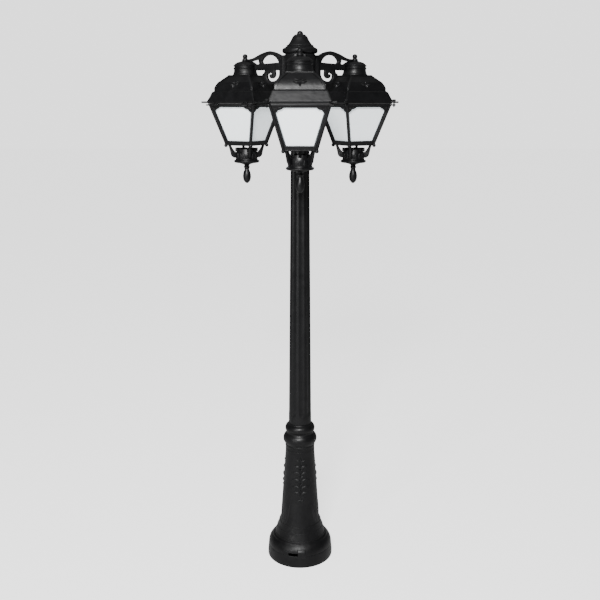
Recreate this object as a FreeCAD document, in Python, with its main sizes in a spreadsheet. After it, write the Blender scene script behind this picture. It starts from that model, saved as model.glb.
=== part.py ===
import FreeCAD, Part
import math
import os

import Sketcher
from FreeCAD import Placement, Rotation, Vector

# Post lantern: three square lanterns on scrolled arms round a fluted post.
# Millimetres, +Z up. The origin is on the post's axis at ground level, and the front lantern
# stands towards -Y. Seen from above, the other two follow at 120 and 240 degrees.

doc = FreeCAD.newDocument("post_lantern")
sheet = doc.addObject("Spreadsheet::Sheet", "Sizes")
sheet.set("A1", "size")
sheet.set("B1", "millimetres")
nodes = []


class Size:
    """A length with its value and the sheet formula that gives it."""

    def __init__(self, value, formula):
        self.value = float(value)
        self.formula = formula

    def joined(self, other, sign, value, swapped=False):
        pair = [self.formula, formula_of(other)]
        if swapped:
            pair.reverse()
        return Size(value, f"({pair[0]} {sign} {pair[1]})")

    def __add__(self, other):
        return self.joined(other, "+", self.value + value_of(other))

    def __radd__(self, other):
        return self.joined(other, "+", value_of(other) + self.value, swapped=True)

    def __sub__(self, other):
        return self.joined(other, "-", self.value - value_of(other))

    def __rsub__(self, other):
        return self.joined(other, "-", value_of(other) - self.value, swapped=True)

    def __mul__(self, other):
        return self.joined(other, "*", self.value * value_of(other))

    def __rmul__(self, other):
        return self.joined(other, "*", value_of(other) * self.value, swapped=True)

    def __truediv__(self, other):
        return self.joined(other, "/", self.value / value_of(other))

    def __neg__(self):
        return Size(-self.value, f"(0 - {self.formula})")


def value_of(thing):
    return thing.value if isinstance(thing, Size) else float(thing)


def formula_of(thing):
    return thing.formula if isinstance(thing, Size) else f"({float(thing)})"


def size(name, value):
    """Write one driving dimension into the sheet and give it back as a Size."""
    size.row += 1
    sheet.set(f"A{size.row}", name)
    sheet.set(f"B{size.row}", str(value))
    sheet.setAlias(f"B{size.row}", name)
    return Size(value, f"Sizes.{name}")


size.row = 1


def bind(thing, path, length):
    """Tie one property to its formula in the sheet."""
    if isinstance(length, Size):
        thing.setExpression(path, length.formula)
    else:
        thing.setExpression(path, str(float(length)))


def turned(thing, angle, x=0, y=0, z=0):
    """Place a piece: turned about its own Z, then set down at x, y, z."""
    base = Vector(value_of(x), value_of(y), value_of(z))
    thing.Placement = Placement(base, Rotation(Vector(0, 0, 1), angle))
    for axis, length in (("x", x), ("y", y), ("z", z)):
        if isinstance(length, Size):
            bind(thing, f".Placement.Base.{axis}", length)
    return thing


def piece(thing, name):
    """Name a finished piece and put it on the list of what is written out."""
    thing.Label = name
    nodes.append(thing)
    return thing


def body(name):
    return doc.addObject("PartDesign::Body", f"{name}_body")


def sketch(owner, role, height=0, turn=0, swing=0):
    """A sketch on one of the body's own planes, moved along its normal, swung about its upright and turned."""
    plane = next(item for item in owner.Origin.OriginFeatures if item.Role == role)
    drawn = owner.newObject("Sketcher::SketchObject", f"{owner.Name}_sketch")
    drawn.AttachmentSupport = [(plane, "")]
    drawn.MapMode = "FlatFace"
    facing = Rotation(Vector(0, 1, 0), swing).multiply(Rotation(Vector(0, 0, 1), turn))
    drawn.AttachmentOffset = Placement(Vector(0, 0, value_of(height)), facing)
    if isinstance(height, Size):
        bind(drawn, ".AttachmentOffset.Base.z", height)
    return drawn


def pin_point(drawn, rules, edge, end, point):
    """Hold one sketch point at its place, each way by a formula or on an axis."""
    for kind, length, axis in (("DistanceX", point[0], -2), ("DistanceY", point[1], -1)):
        if isinstance(length, Size):
            rules.append((Sketcher.Constraint(kind, -1, 1, edge, end, length.value), length))
        else:
            rules.append((Sketcher.Constraint("PointOnObject", edge, end, axis), None))


def hold(drawn, rules):
    """Give the sketch its constraints and tie each dimension to the sheet."""
    first = drawn.ConstraintCount
    drawn.addConstraint([rule for rule, length in rules])
    for number, (rule, length) in enumerate(rules, first):
        if length is not None:
            drawn.setExpression(f"Constraints[{number}]", length.formula)


def flat(point):
    return Vector(value_of(point[0]), value_of(point[1]), 0)


def counter_clockwise(here, via, there):
    """Arc through three points, drawn the way round in which a sketch keeps its arcs."""
    if (via - here).cross(there - here).z < 0:
        here, there = there, here
    return Part.Arc(here, via, there)


def outline(drawn, start, *steps):
    """Closed outline. A step of two lengths is a line to a point, one of four an arc by way of a point."""
    corners = [start] + [tuple(step[-2:]) for step in steps]
    if (flat(corners[-1]) - flat(start)).Length > 0:
        steps = steps + (start,)
        corners.append(start)
    rules = []
    ends = []
    for here, step, there in zip(corners, steps, corners[1:]):
        if len(step) == 4:
            shape = counter_clockwise(flat(here), flat(step[:2]), flat(there))
        else:
            shape = Part.LineSegment(flat(here), flat(there))
        edge = drawn.addGeometry(shape, False)
        drawn_start, drawn_end = drawn.getPoint(edge, 1), drawn.getPoint(edge, 2)
        forward = (drawn_start - flat(here)).Length < (drawn_end - flat(here)).Length
        ends.append((edge, 1, 2) if forward else (edge, 2, 1))
        if len(step) == 4:
            via = drawn.addGeometry(Part.Point(flat(step[:2])), True)
            pin_point(drawn, rules, via, 1, step[:2])
            rules.append((Sketcher.Constraint("PointOnObject", via, 1, edge), None))
    for number, (edge, first, last) in enumerate(ends):
        after = ends[(number + 1) % len(ends)]
        rules.append((Sketcher.Constraint("Coincident", edge, last, after[0], after[1]), None))
        pin_point(drawn, rules, edge, first, corners[number])
    hold(drawn, rules)
    return drawn


def both_sides(start, *steps):
    """Steps of a whole outline from its right half, which runs from the top of the middle line down."""
    corners = [start] + [tuple(step[-2:]) for step in steps]
    last = corners[-1]
    back = [(-last[0], last[1])]
    for step, corner in reversed(list(zip(steps, corners))):
        end = (-corner[0] if isinstance(corner[0], Size) else 0, corner[1])
        back.append((-step[0], step[1]) + end if len(step) == 4 else end)
    return (start,) + tuple(steps) + tuple(back)


def ring(drawn, x, y, radius):
    """A circle held by its centre and radius."""
    edge = drawn.addGeometry(Part.Circle(flat((x, y)), Vector(0, 0, 1), value_of(radius)), False)
    rules = []
    pin_point(drawn, rules, edge, 3, (x, y))
    rules.append((Sketcher.Constraint("Radius", edge, value_of(radius)), radius))
    hold(drawn, rules)
    return drawn


def box_outline(drawn, x_low, x_high, y_low, y_high):
    return outline(drawn, (x_low, y_low), (x_high, y_low), (x_high, y_high), (x_low, y_high))


def square(drawn, half):
    return box_outline(drawn, -half, half, -half, half)


def feature(owner, kind, drawn):
    made = owner.newObject(f"PartDesign::{kind}", f"{owner.Name}_{kind}")
    made.Profile = drawn
    return made


def raised(owner, kind, drawn, length, middle=False, reverse=False):
    """Pad or Pocket of a stated length."""
    made = feature(owner, kind, drawn)
    bind(made, "Length", length)
    made.SideType = "Symmetric" if middle else "One side"
    made.Reversed = reverse
    return made


def spun(owner, drawn, kind="Revolution"):
    """Revolution or Groove about the body's Z."""
    made = feature(owner, kind, drawn)
    made.ReferenceAxis = (drawn, ["V_Axis"])
    made.Angle = 360
    return made


def repeated(owner, features, count):
    """The features again round the body's Z, in equal steps."""
    made = owner.newObject("PartDesign::PolarPattern", f"{owner.Name}_pattern")
    made.Originals = features
    axis = next(item for item in owner.Origin.OriginFeatures if item.Role == "Z_Axis")
    made.Axis = (axis, [""])
    made.Angle = 360
    made.Occurrences = count
    owner.Tip = made
    return made


def turned_piece(name, start, *steps):
    """A body of revolution from its half outline."""
    made = body(name)
    spun(made, outline(sketch(made, "XZ_Plane"), start, *steps))
    return made


def joined(kind, name, members):
    made = doc.addObject(f"Part::{kind}", name)
    made.Shapes = members
    return made


def cut_from(name, base, tool):
    made = doc.addObject("Part::Cut", name)
    made.Base = base
    made.Tool = tool
    return made


def upright(name, radius, low, high, x=0, y=0):
    """A plain upright cylinder between two heights."""
    made = doc.addObject("Part::Cylinder", name)
    bind(made, "Radius", radius)
    bind(made, "Height", high - low)
    return turned(made, 0, x, y, low)


# Clearances and fits
diagonal_share = math.sqrt(0.5)
sides = (-1, 1)
corners_of_a_square = 4
overrun = size("cut_overrun", 2)
slip_fit = size("slip_fit", 0.25)
seat_gap = size("seat_gap", 0.3)

# Ground flange: a cast ring with a floor that is bolted down, a socket for the steel tube and three lugs on
# its rim that lock the foot.
flange_radius = size("ground_flange_radius", 131)
flange_height = size("ground_flange_height", 48)
flange_edge = size("ground_flange_edge_height", 14)
flange_wall = size("ground_flange_wall", 7)
flange_draft = size("ground_flange_draft", 3)
floor_thick = size("ground_flange_floor", 12)
tube_radius = size("core_tube_radius", 24)
tube_wall = size("core_tube_wall", 3)
cable_radius = size("cable_entry_radius", 15)
boss_wall = size("tube_boss_wall", 8)
boss_height = size("tube_boss_height", 60)
bolt_circle = size("anchor_circle_radius", 88)
bolt_hole = size("anchor_hole_radius", 7)
lug_width = size("lug_width", 30)
lug_height = size("lug_height", 26)
lug_depth = size("lug_depth", 11)
lug_turn = 2.7
third = 3


def make_ground_flange():
    made = body("ground_flange")
    rim = flange_radius - flange_draft
    socket = tube_radius + slip_fit
    spun(made, outline(
        sketch(made, "XZ_Plane"),
        (cable_radius, 0), (flange_radius, 0), (flange_radius, flange_edge), (rim, flange_height),
        (rim - flange_wall, flange_height), (rim - flange_wall, floor_thick),
        (socket + boss_wall, floor_thick), (socket + boss_wall, boss_height), (socket, boss_height),
        (socket, floor_thick), (cable_radius, floor_thick)))
    hole = ring(sketch(made, "XY_Plane"), bolt_circle, 0, bolt_hole)
    hole = raised(made, "Pocket", hole, floor_thick + overrun, reverse=True)
    repeated(made, [hole], third)
    block = sketch(made, "XY_Plane", flange_height - overrun)
    box_outline(block, flange_radius - lug_depth, flange_radius, -lug_width / 2, lug_width / 2)
    lug = raised(made, "Pad", block, lug_height + overrun)
    repeated(made, [lug], third)
    return piece(turned(made, -90 + lug_turn), "ground_flange")


# Foot: the flared and tapered lower casting. It drops over the lugs, and a twist locks it.
foot_wall = size("foot_wall", 6)
shoulder_radius = size("shoulder_radius", 110)
shoulder_height = flange_height + size("skirt_height", 38)
shoulder_swell = size("shoulder_swell", 4)
flare_radius = size("flare_radius", 102)
flare_height = shoulder_height + size("flare_ledge_height", 8)
taper_radius = size("taper_low_radius", 77.5)
taper_height = flare_height + size("flare_rise", 73)
foot_top = taper_height + size("foot_taper_length", 317)
neck_radius = size("foot_neck_radius", 56.4)
ring_radius = neck_radius + size("foot_ring_reach", 1.6)
ring_height = size("foot_ring_height", 9)
lug_slack = size("lug_slack", 1)
lug_travel = size("lug_travel", 36)


def make_foot():
    made = body("foot")
    skirt = flange_radius - flange_draft - slip_fit
    swell = (skirt - shoulder_swell, (flange_height + shoulder_height) / 2)
    ring_low = foot_top - ring_height
    spun(made, outline(
        sketch(made, "XZ_Plane"),
        (skirt, flange_height), swell + (shoulder_radius, shoulder_height), (flare_radius, flare_height),
        (taper_radius, taper_height), (neck_radius, ring_low), (ring_radius, ring_low + foot_wall / 4),
        (ring_radius, foot_top), (neck_radius - foot_wall, foot_top), (neck_radius - foot_wall, ring_low),
        (taper_radius - foot_wall, taper_height), (flare_radius - foot_wall, flare_height - foot_wall / 4),
        (shoulder_radius - foot_wall, shoulder_height - foot_wall / 2),
        (swell[0] - foot_wall, swell[1], skirt - foot_wall, flange_height)))
    slot = box_outline(
        sketch(made, "YZ_Plane"),
        -lug_width / 2 - lug_slack - lug_travel, lug_width / 2 + lug_slack,
        flange_height - overrun, flange_height + lug_height + lug_slack)
    cut = raised(made, "Pocket", slot, flange_radius + overrun, reverse=True)
    repeated(made, [cut], third)
    return piece(turned(made, -90 + lug_turn), "foot")


# Collar: a double-bead moulding with a web that centres the steel tube. The shaft stands on it.
collar_height = size("collar_height", 88)
low_bead = size("low_bead_radius", 66.4)
high_bead = size("high_bead_radius", 57.8)
waist = size("collar_waist_radius", 53.8)
spigot_depth = size("collar_spigot_depth", 10)
collar_web = size("collar_web", 12)
low_bead_share = 0.28
waist_low_share = 0.53
waist_high_share = 0.62
high_bead_share = 0.79
bead_end_share = 0.94
shaft_radius = size("shaft_foot_radius", 44.6)
shaft_wall = size("shaft_wall", 6)


def make_collar():
    made = body("collar")

    def up(share):
        return foot_top + collar_height * share

    top = foot_top + collar_height
    bore = tube_radius + slip_fit
    spigot = neck_radius - foot_wall - slip_fit
    inner = spigot - foot_wall / 2
    spun(made, outline(
        sketch(made, "XZ_Plane"),
        (ring_radius, foot_top), (low_bead, up(low_bead_share), waist + slip_fit, up(waist_low_share)),
        (waist, up(waist_high_share)),
        (high_bead, up(high_bead_share), shaft_radius + foot_wall, up(bead_end_share)),
        (shaft_radius + foot_wall / 3, top), (bore, top), (bore, top - collar_web),
        (shaft_radius - shaft_wall, top - collar_web), (inner, foot_top - spigot_depth),
        (spigot, foot_top - spigot_depth), (spigot, foot_top)))
    return piece(made, "collar")


# Shaft: the long tapered sleeve with eight flutes that start in round heads.
shaft_length = size("shaft_length", 1290)
shaft_top_radius = size("shaft_top_radius", 32.2)
flute_depth = size("flute_depth", 3.2)
flute_radius = size("flute_radius", 34)
flute_start = size("flute_start", 40)
flute_stop = size("flute_stop", 60)
flutes = 8
flute_turn = 8.6


def shaft_radius_at(height):
    """Outside radius of the shaft at a height above its foot."""
    return shaft_radius + (shaft_top_radius - shaft_radius) * (height / shaft_length)


def make_shaft():
    made = body("shaft")
    bore = shaft_top_radius - shaft_wall + tube_wall / 3
    spun(made, outline(
        sketch(made, "XZ_Plane"),
        (shaft_radius - shaft_wall, 0), (shaft_radius, 0), (shaft_top_radius, shaft_length),
        (bore, shaft_length)))
    ends = []
    for height in (flute_start, shaft_length - flute_stop):
        local = shaft_radius_at(height)
        round_radius = flute_radius * (local / shaft_radius)
        ends.append((height, local + round_radius - flute_depth * (local / shaft_radius), round_radius))
    sections = [ring(sketch(made, "XY_Plane", height), out, 0, radius) for height, out, radius in ends]
    groove = feature(made, "SubtractiveLoft", sections[0])
    groove.Sections = [sections[1]]
    groove.Ruled = True
    low_height, low_out, low_round = ends[0]
    head = made.newObject("PartDesign::SubtractiveSphere", "flute_head")
    bind(head, "Radius", low_round)
    turned(head, 0, low_out, 0, low_height)
    repeated(made, [groove, head], flutes)
    return piece(turned(made, -90 + flute_turn, 0, 0, foot_top + collar_height), "shaft")


# Core tube: the steel tube that carries the load, from the ground flange up into the hub.
hub_socket = size("hub_socket_depth", 16)
tube_reach = size("tube_reach_above_shaft", 60)
shaft_top = foot_top + collar_height + shaft_length
hub_low = shaft_top - hub_socket


def make_core_tube():
    made = turned_piece(
        "core_tube", (tube_radius - tube_wall, floor_thick), (tube_radius, floor_thick),
        (tube_radius, shaft_top + tube_reach), (tube_radius - tube_wall, shaft_top + tube_reach))
    return piece(made, "core_tube")


# Hub: the cast head on the shaft. Three flat bosses carry the arms, and its top is a wiring box.
hub_height = size("hub_height", 130.5)
hub_radius = size("hub_radius", 53)
hub_wall = size("hub_wall", 6)
hub_throat = size("hub_throat_radius", 40)
hub_cove = size("hub_cove_height", 30)
hub_floor = size("hub_floor", 12)
box_ledge = size("wiring_box_ledge", 110)
ledge_width = size("wiring_box_ledge_width", 3)
boss_face = size("arm_boss_face", 57)
boss_width = size("arm_boss_width", 44)
bar_rise = size("arm_bar_rise", 85)
plate_up = size("arm_plate_up", 39)
plate_down = size("arm_plate_down", 60)
screw_side = size("arm_screw_side", 14)
screw_up = size("arm_screw_up", 27)
screw_down = size("arm_screw_down", 48)
screw_radius = size("arm_screw_radius", 2.5)
bar_mid = hub_low + bar_rise


def make_hub():
    made = body("hub")
    bore = tube_radius + slip_fit
    hollow = hub_radius - hub_wall - ledge_width
    spun(made, outline(
        sketch(made, "XZ_Plane"),
        (shaft_top_radius + slip_fit * 2, 0), (hub_throat, 0),
        (hub_throat + hub_wall / 4, hub_cove * 0.6, hub_radius, hub_cove), (hub_radius, hub_height),
        (hollow + ledge_width, hub_height), (hollow + ledge_width, box_ledge), (hollow, box_ledge),
        (hollow, hub_socket + hub_floor), (bore, hub_socket + hub_floor), (bore, hub_socket),
        (shaft_top_radius + slip_fit * 2, hub_socket)))
    block = sketch(made, "XY_Plane", bar_rise - plate_down)
    box_outline(block, hub_radius - hub_wall, boss_face, -boss_width / 2, boss_width / 2)
    boss = raised(made, "Pad", block, plate_up + plate_down)
    repeated(made, [boss], third)
    holes = []
    for side in sides:
        for height in (bar_rise + screw_up, bar_rise - screw_down):
            drilled = ring(sketch(made, "YZ_Plane"), screw_side * side, height, screw_radius)
            holes.append(raised(made, "Pocket", drilled, boss_face + overrun, reverse=True))
    repeated(made, holes, third)
    return piece(turned(made, -90, 0, 0, hub_low), "hub")


# Bell cap over the hub, its stud, its button finial, and the wiring plate with its terminal block.
bell_height = size("bell_height", 63.5)
bell_skirt = size("bell_skirt_radius", 62.3)
bell_rim = size("bell_rim_height", 14)
bell_shoulder = size("bell_shoulder_radius", 27.8)
bell_wall = size("bell_wall", 3.5)
shoulder_drop = size("bell_shoulder_drop", 11.5)
bell_mid_radius = size("bell_mid_radius", 39.1)
bell_mid_height = size("bell_mid_height", 33)
button_radius = size("button_radius", 10.5)
button_lift = size("button_lift", 1.2)
stud_radius = size("stud_radius", 4)
stud_head = size("stud_head", 5)
plate_thick = size("wiring_plate", 3)
hub_top = hub_low + hub_height


def make_hub_cap():
    rim = hub_radius - ledge_width
    foot = bell_skirt - bell_wall
    made = turned_piece(
        "hub_cap", (rim, 0), (hub_radius, 0),
        (bell_skirt, bell_rim * 0.6, foot, bell_rim),
        (bell_mid_radius, bell_mid_height, bell_shoulder, bell_height - shoulder_drop),
        (bell_shoulder - bell_wall * 1.8, bell_height - shoulder_drop / 3, button_radius, bell_height),
        (stud_radius + slip_fit, bell_height), (stud_radius + slip_fit, bell_height - bell_wall * 2),
        (bell_shoulder - bell_wall * 2, bell_height - bell_wall * 2),
        (bell_mid_radius - bell_wall, bell_mid_height - bell_wall,
         foot - bell_wall * 2, bell_rim - bell_wall))
    return piece(turned(made, 0, 0, 0, hub_top), "hub_cap")


def make_hub_finial():
    depth = button_radius * 0.6
    low = bell_height
    made = turned_piece(
        "hub_finial", (stud_radius, low), (button_radius, low), (button_radius, low + button_lift),
        (button_radius * diagonal_share, low + button_lift + button_radius * diagonal_share,
         0, low + button_lift + button_radius),
        (0, low + depth), (stud_radius, low + depth))
    return piece(turned(made, 0, 0, 0, hub_top), "hub_finial")


def make_hub_stud():
    low = box_ledge - hub_height
    made = turned_piece(
        "hub_stud", (0, low - stud_head), (stud_radius * 2, low - stud_head), (stud_radius * 2, low),
        (stud_radius, low), (stud_radius, bell_height + button_radius / 2),
        (0, bell_height + button_radius / 2))
    return piece(turned(made, 0, 0, 0, hub_top), "hub_stud")


def make_terminal_plate():
    made = body("terminal_plate")
    edge = hub_radius - hub_wall - slip_fit
    plan = ring(ring(sketch(made, "XY_Plane"), 0, 0, edge), 0, 0, stud_radius + slip_fit)
    raised(made, "Pad", plan, plate_thick)
    hole = ring(sketch(made, "XY_Plane"), -edge * 0.6, 0, cable_radius * 0.45)
    hole = raised(made, "Pocket", hole, plate_thick + overrun, reverse=True)
    repeated(made, [hole], third)
    return piece(turned(made, 30, 0, 0, hub_low + box_ledge), "terminal_plate")


terminal_length = size("terminal_length", 36)
terminal_width = size("terminal_width", 16)
terminal_height = size("terminal_height", 13)
terminal_screw = size("terminal_screw_radius", 1.8)
terminal_ways = 3


def make_terminal_block():
    made = body("terminal_block")
    near = stud_radius * 2.4
    plan = box_outline(
        sketch(made, "XY_Plane"), near, near + terminal_width, -terminal_length / 2, terminal_length / 2)
    raised(made, "Pad", plan, terminal_height)
    for way in range(terminal_ways):
        place = terminal_length * ((way + 0.5) / terminal_ways - 0.5)
        top = ring(
            sketch(made, "XY_Plane", terminal_height), near + terminal_width / 2, place, terminal_screw)
        raised(made, "Pocket", top, terminal_height * 0.6)
    return piece(turned(made, 90, 0, 0, hub_low + box_ledge + plate_thick), "terminal_block")


# Arms: flat cast brackets. An arch and a falling S line stand over a straight bar, and a scroll hangs
# under it. The end reaches over the lantern's cap as an eye, and the ball nut holds it down.
arm_reach = size("arm_reach", 235)
arm_thick = size("arm_thickness", 14)
bar_half = size("arm_bar_half_height", 11)
plate_depth = size("arm_plate_depth", 12)
plate_width = size("arm_plate_width", 40)
arch_out = size("arch_middle_out", 125)
arch_top = size("arch_top", 56)
arch_hole_in = size("arch_hole_inner_end", 86.5)
arch_hole_width = size("arch_hole_width", 71.8)
arch_hole_sill = size("arch_hole_sill", 15)
arch_hole_rise = size("arch_hole_rise", 26.5)
fall_out = size("fall_out", 181)
fall_up = size("fall_up", 39.5)
eye_radius = size("arm_eye_radius", 12)
eye_thick = size("arm_eye_thickness", 6)
scroll_in = size("scroll_hole_inner_end", 84)
scroll_width = size("scroll_hole_width", 53)
scroll_depth = size("scroll_hole_depth", 39.5)
scroll_band = size("scroll_band", 11)
bud_radius = size("scroll_bud_radius", 5)
gusset_out = size("gusset_hole_out", 170)
gusset_end = size("gusset_hole_end_out", 209)
gusset_up = size("gusset_hole_up", 28)
gusset_end_up = size("gusset_hole_end_up", 20.5)

# Lantern heights hang from the platform on which the cap stands. Below, heights in a lantern count
# from there, and they are negative downwards.
cap_drop = size("platform_below_bar", 27)
platform = bar_mid - cap_drop
cap_radius = size("cap_radius", 42.2)
cap_foot = size("cap_foot_radius", 47)
cap_flare = size("cap_flare_height", 8)
cap_height = size("cap_cylinder_height", 36.5)
cap_bead = size("cap_bead", 2)
bead_pitch = size("cap_bead_pitch", 10)
dome_height = size("cap_dome_height", 14)
dome_top = size("cap_dome_top_radius", 12)
cap_wall = size("cap_wall", 3.5)
rod_radius = size("tie_rod_radius", 5)
rod_bore = size("tie_rod_bore", 3)
cap_top = cap_height + dome_height


def make_arm(name, azimuth):
    made = body(name)
    eye_low = cap_top - cap_drop + seat_gap
    eye_high = eye_low + eye_thick
    cap_side = arm_reach - cap_radius - cap_bead - seat_gap * 2
    strap_end = arm_reach - eye_radius * 0.6
    dome_side = cap_height - cap_drop + cap_bead
    plate_face = boss_face + plate_depth

    def in_scroll(across, depth):
        return scroll_in + scroll_width * across, -bar_half - scroll_depth * depth

    drawn = outline(
        sketch(made, "XZ_Plane"),
        (boss_face, -plate_down), (boss_face, plate_up), (plate_face, plate_up),
        (plate_face + (arch_out - plate_face) * 0.6, arch_top * 0.92, arch_out, arch_top),
        (arch_out + (fall_out - arch_out) * 0.55, arch_top * 0.885, fall_out, fall_up),
        (fall_out + (arm_reach - fall_out) * 0.42, eye_high + eye_thick / 4,
         arm_reach - eye_radius, eye_high),
        (strap_end, eye_high), (strap_end, eye_low), (arm_reach - dome_top, eye_low),
        (arm_reach - cap_radius * 0.78, dome_side + dome_height * 0.45, cap_side, dome_side),
        (cap_side, -bar_half), in_scroll(1.15, 0), in_scroll(1.28, 0.33),
        in_scroll(1.1, 1.08) + (in_scroll(0.55, 1)[0], -bar_half - scroll_depth - scroll_band),
        (in_scroll(0.1, 1)[0], -bar_half - scroll_depth - scroll_band * 0.75), (plate_face, -plate_down))
    raised(made, "Pad", drawn, arm_thick, middle=True)
    arch = outline(
        sketch(made, "XZ_Plane"),
        (arch_hole_in, arch_hole_sill),
        (arch_hole_in + arch_hole_width * 0.2, arch_hole_sill + arch_hole_rise * 0.74,
         arch_hole_in + arch_hole_width * 0.52, arch_hole_sill + arch_hole_rise),
        (arch_hole_in + arch_hole_width * 0.84, arch_hole_sill + arch_hole_rise * 0.77,
         arch_hole_in + arch_hole_width, arch_hole_sill + arch_hole_rise * 0.24),
        (arch_hole_in + arch_hole_width * 0.95, arch_hole_sill - bar_half * 0.09,
         arch_hole_in + arch_hole_width * 0.84, arch_hole_sill - bar_half * 0.27))
    raised(made, "Pocket", arch, arm_thick + overrun, middle=True)
    gusset = outline(
        sketch(made, "XZ_Plane"),
        (gusset_out, bar_half), (gusset_out + bar_half / 3, gusset_up),
        ((gusset_out + gusset_end) / 2, gusset_up - bar_half / 3, gusset_end, gusset_end_up),
        (cap_side, bar_half))
    raised(made, "Pocket", gusset, arm_thick + overrun, middle=True)
    scroll = outline(
        sketch(made, "XZ_Plane"),
        (scroll_in, -bar_half * 1.1), in_scroll(0, 0.33), in_scroll(0.17, 0.81) + in_scroll(0.55, 1),
        in_scroll(0.91, 0.84) + in_scroll(1, 0.51), in_scroll(0.925, 0.23) + in_scroll(0.755, 0.09),
        (in_scroll(0.64, 0)[0], -bar_half * 1.1))
    raised(made, "Pocket", scroll, arm_thick + overrun, middle=True)
    curl = outline(
        sketch(made, "XZ_Plane"),
        (in_scroll(0.34, 0)[0], -bar_half + overrun), in_scroll(0.28, 0.33),
        in_scroll(0.41, 0.59) + in_scroll(0.6, 0.66), in_scroll(0.86, 0.43) + in_scroll(0.7, 0.25),
        in_scroll(0.55, 0.23), (in_scroll(0.55, 0)[0], -bar_half + overrun))
    raised(made, "Pad", curl, arm_thick * 0.8, middle=True)
    bud = ring(sketch(made, "XZ_Plane"), *in_scroll(1.34, 0.51), bud_radius)
    raised(made, "Pad", bud, arm_thick * 0.6, middle=True)
    eye = ring(sketch(made, "XY_Plane", eye_low), arm_reach, 0, eye_radius)
    raised(made, "Pad", eye, eye_thick)
    hole = ring(sketch(made, "XY_Plane", eye_low - overrun), arm_reach, 0, rod_radius + slip_fit)
    raised(made, "Pocket", hole, eye_thick + overrun * 2, reverse=True)
    plate = box_outline(
        sketch(made, "YZ_Plane", boss_face), -plate_width / 2, plate_width / 2, -plate_down, plate_up)
    raised(made, "Pad", plate, plate_depth)
    for side in sides:
        for height in (screw_up, -screw_down):
            drilled = ring(sketch(made, "YZ_Plane", boss_face), screw_side * side, height, screw_radius)
            raised(made, "Pocket", drilled, plate_depth + overrun, reverse=True)
    return piece(turned(made, azimuth, 0, 0, bar_mid), name)


screw_head = size("arm_screw_head_radius", 4.5)
screw_head_height = size("arm_screw_head_height", 4)


def make_arm_screws():
    made = body("arm_screws")
    face = boss_face + plate_depth
    parts = []
    for side in sides:
        for height in (screw_up, -screw_down):
            shank = ring(
                sketch(made, "YZ_Plane", hub_radius - hub_wall), screw_side * side, height, screw_radius)
            parts.append(raised(made, "Pad", shank, face - hub_radius + hub_wall))
            head = ring(sketch(made, "YZ_Plane", face), screw_side * side, height, screw_head)
            parts.append(raised(made, "Pad", head, screw_head_height))
    repeated(made, parts, third)
    return piece(turned(made, -90, 0, 0, bar_mid), "arm_screws")


def in_lantern(thing, azimuth, extra=0):
    """Stand a lantern's piece on its arm: its own -Y points away from the post."""
    angle = math.radians(azimuth)
    x = arm_reach * math.cos(angle)
    y = arm_reach * math.sin(angle)
    return turned(thing, azimuth + 90 + extra, x, y, platform)


# Lantern cap: the round chimney on the roof, with two beads and a low dome.
def make_cap(name, azimuth):
    high_bead_at = cap_height - cap_bead * 1.3
    low_bead_at = high_bead_at - bead_pitch
    outer = []
    for middle in (low_bead_at, high_bead_at):
        outer.append((cap_radius, middle - cap_bead))
        outer.append((cap_radius + cap_bead, middle, cap_radius, middle + cap_bead))
    made = turned_piece(
        name, (cap_foot - cap_wall, 0), (cap_foot, 0),
        (cap_radius + cap_flare * 0.15, cap_flare * 0.35, cap_radius, cap_flare), *outer,
        (cap_radius, cap_height), (dome_top, cap_top),
        (rod_radius + slip_fit, cap_top), (rod_radius + slip_fit, cap_top - cap_wall),
        (dome_top, cap_top - cap_wall), (cap_radius - cap_wall, cap_height - cap_wall * 0.4),
        (cap_radius - cap_wall, cap_flare))
    return piece(in_lantern(made, azimuth), name)


# Ball nut on top of the arm's eye, and the tube that ties arm, cap, roof and lamp holder together.
ball_radius = size("ball_radius", 9.2)
nut_foot = size("ball_nut_foot", 3)
rod_low = size("tie_rod_below_platform", 14)


def make_finial(name, azimuth):
    low = cap_top + seat_gap + eye_thick
    middle = low + nut_foot + ball_radius * diagonal_share
    made = turned_piece(
        name, (rod_radius, low), (ball_radius, low), (ball_radius, low + nut_foot / 2),
        (ball_radius * diagonal_share, low + nut_foot),
        (ball_radius, middle, 0, middle + ball_radius), (0, middle), (rod_radius, middle))
    return piece(in_lantern(made, azimuth), name)


def make_tie_rod(name, azimuth):
    top = cap_top + seat_gap + eye_thick + nut_foot + ball_radius / 2
    made = turned_piece(
        name, (rod_bore, -rod_low), (rod_radius, -rod_low), (rod_radius, top), (rod_bore, top))
    return piece(in_lantern(made, azimuth), name)


# Roof: a square vault. The same outline, pushed through from the front and from the side, leaves the
# hips where the two meet. A thin rib lies on each hip, and an ear stands out at each corner of the eave.
roof_height = size("roof_height", 101)
roof_wall = size("roof_wall", 4)
frame_half = size("frame_half", 102.5)
platform_half = cap_foot
platform_edge = size("platform_edge", 3)
eave_half = frame_half + size("eave_reach", 1.8)
eave_thick = size("eave_thickness", 6.5)
eave_inner = eave_half - size("eave_width", 12.3)
step_width = size("roof_step_width", 6)
step_down = size("roof_step_down", 4)
swell_half = eave_half - size("eave_slope_width", 19.9)
swell_down = size("roof_swell_down", 58)
swell_mid_half = platform_half + (swell_half - platform_half) * 0.575
swell_mid_down = swell_down * 0.388
ear_tip = eave_half / diagonal_share + size("roof_ear_reach", 22.5)
ear_width = size("ear_width", 15)
rib_width = size("hip_rib_width", 7)
rib_rise = size("hip_rib_rise", 1.8)
latch_out = eave_half / diagonal_share + size("latch_screw_reach", 3)
latch_radius = size("latch_screw_radius", 3)
latch_slack = size("latch_screw_slack", 0.9)
knob_height = size("hand_knob_height", 7)
knob_out = size("hand_knob_radius", 7)
hinge_turns = (45, -45)
latch_turns = (135, -135)
corner_turns = hinge_turns + latch_turns


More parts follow.
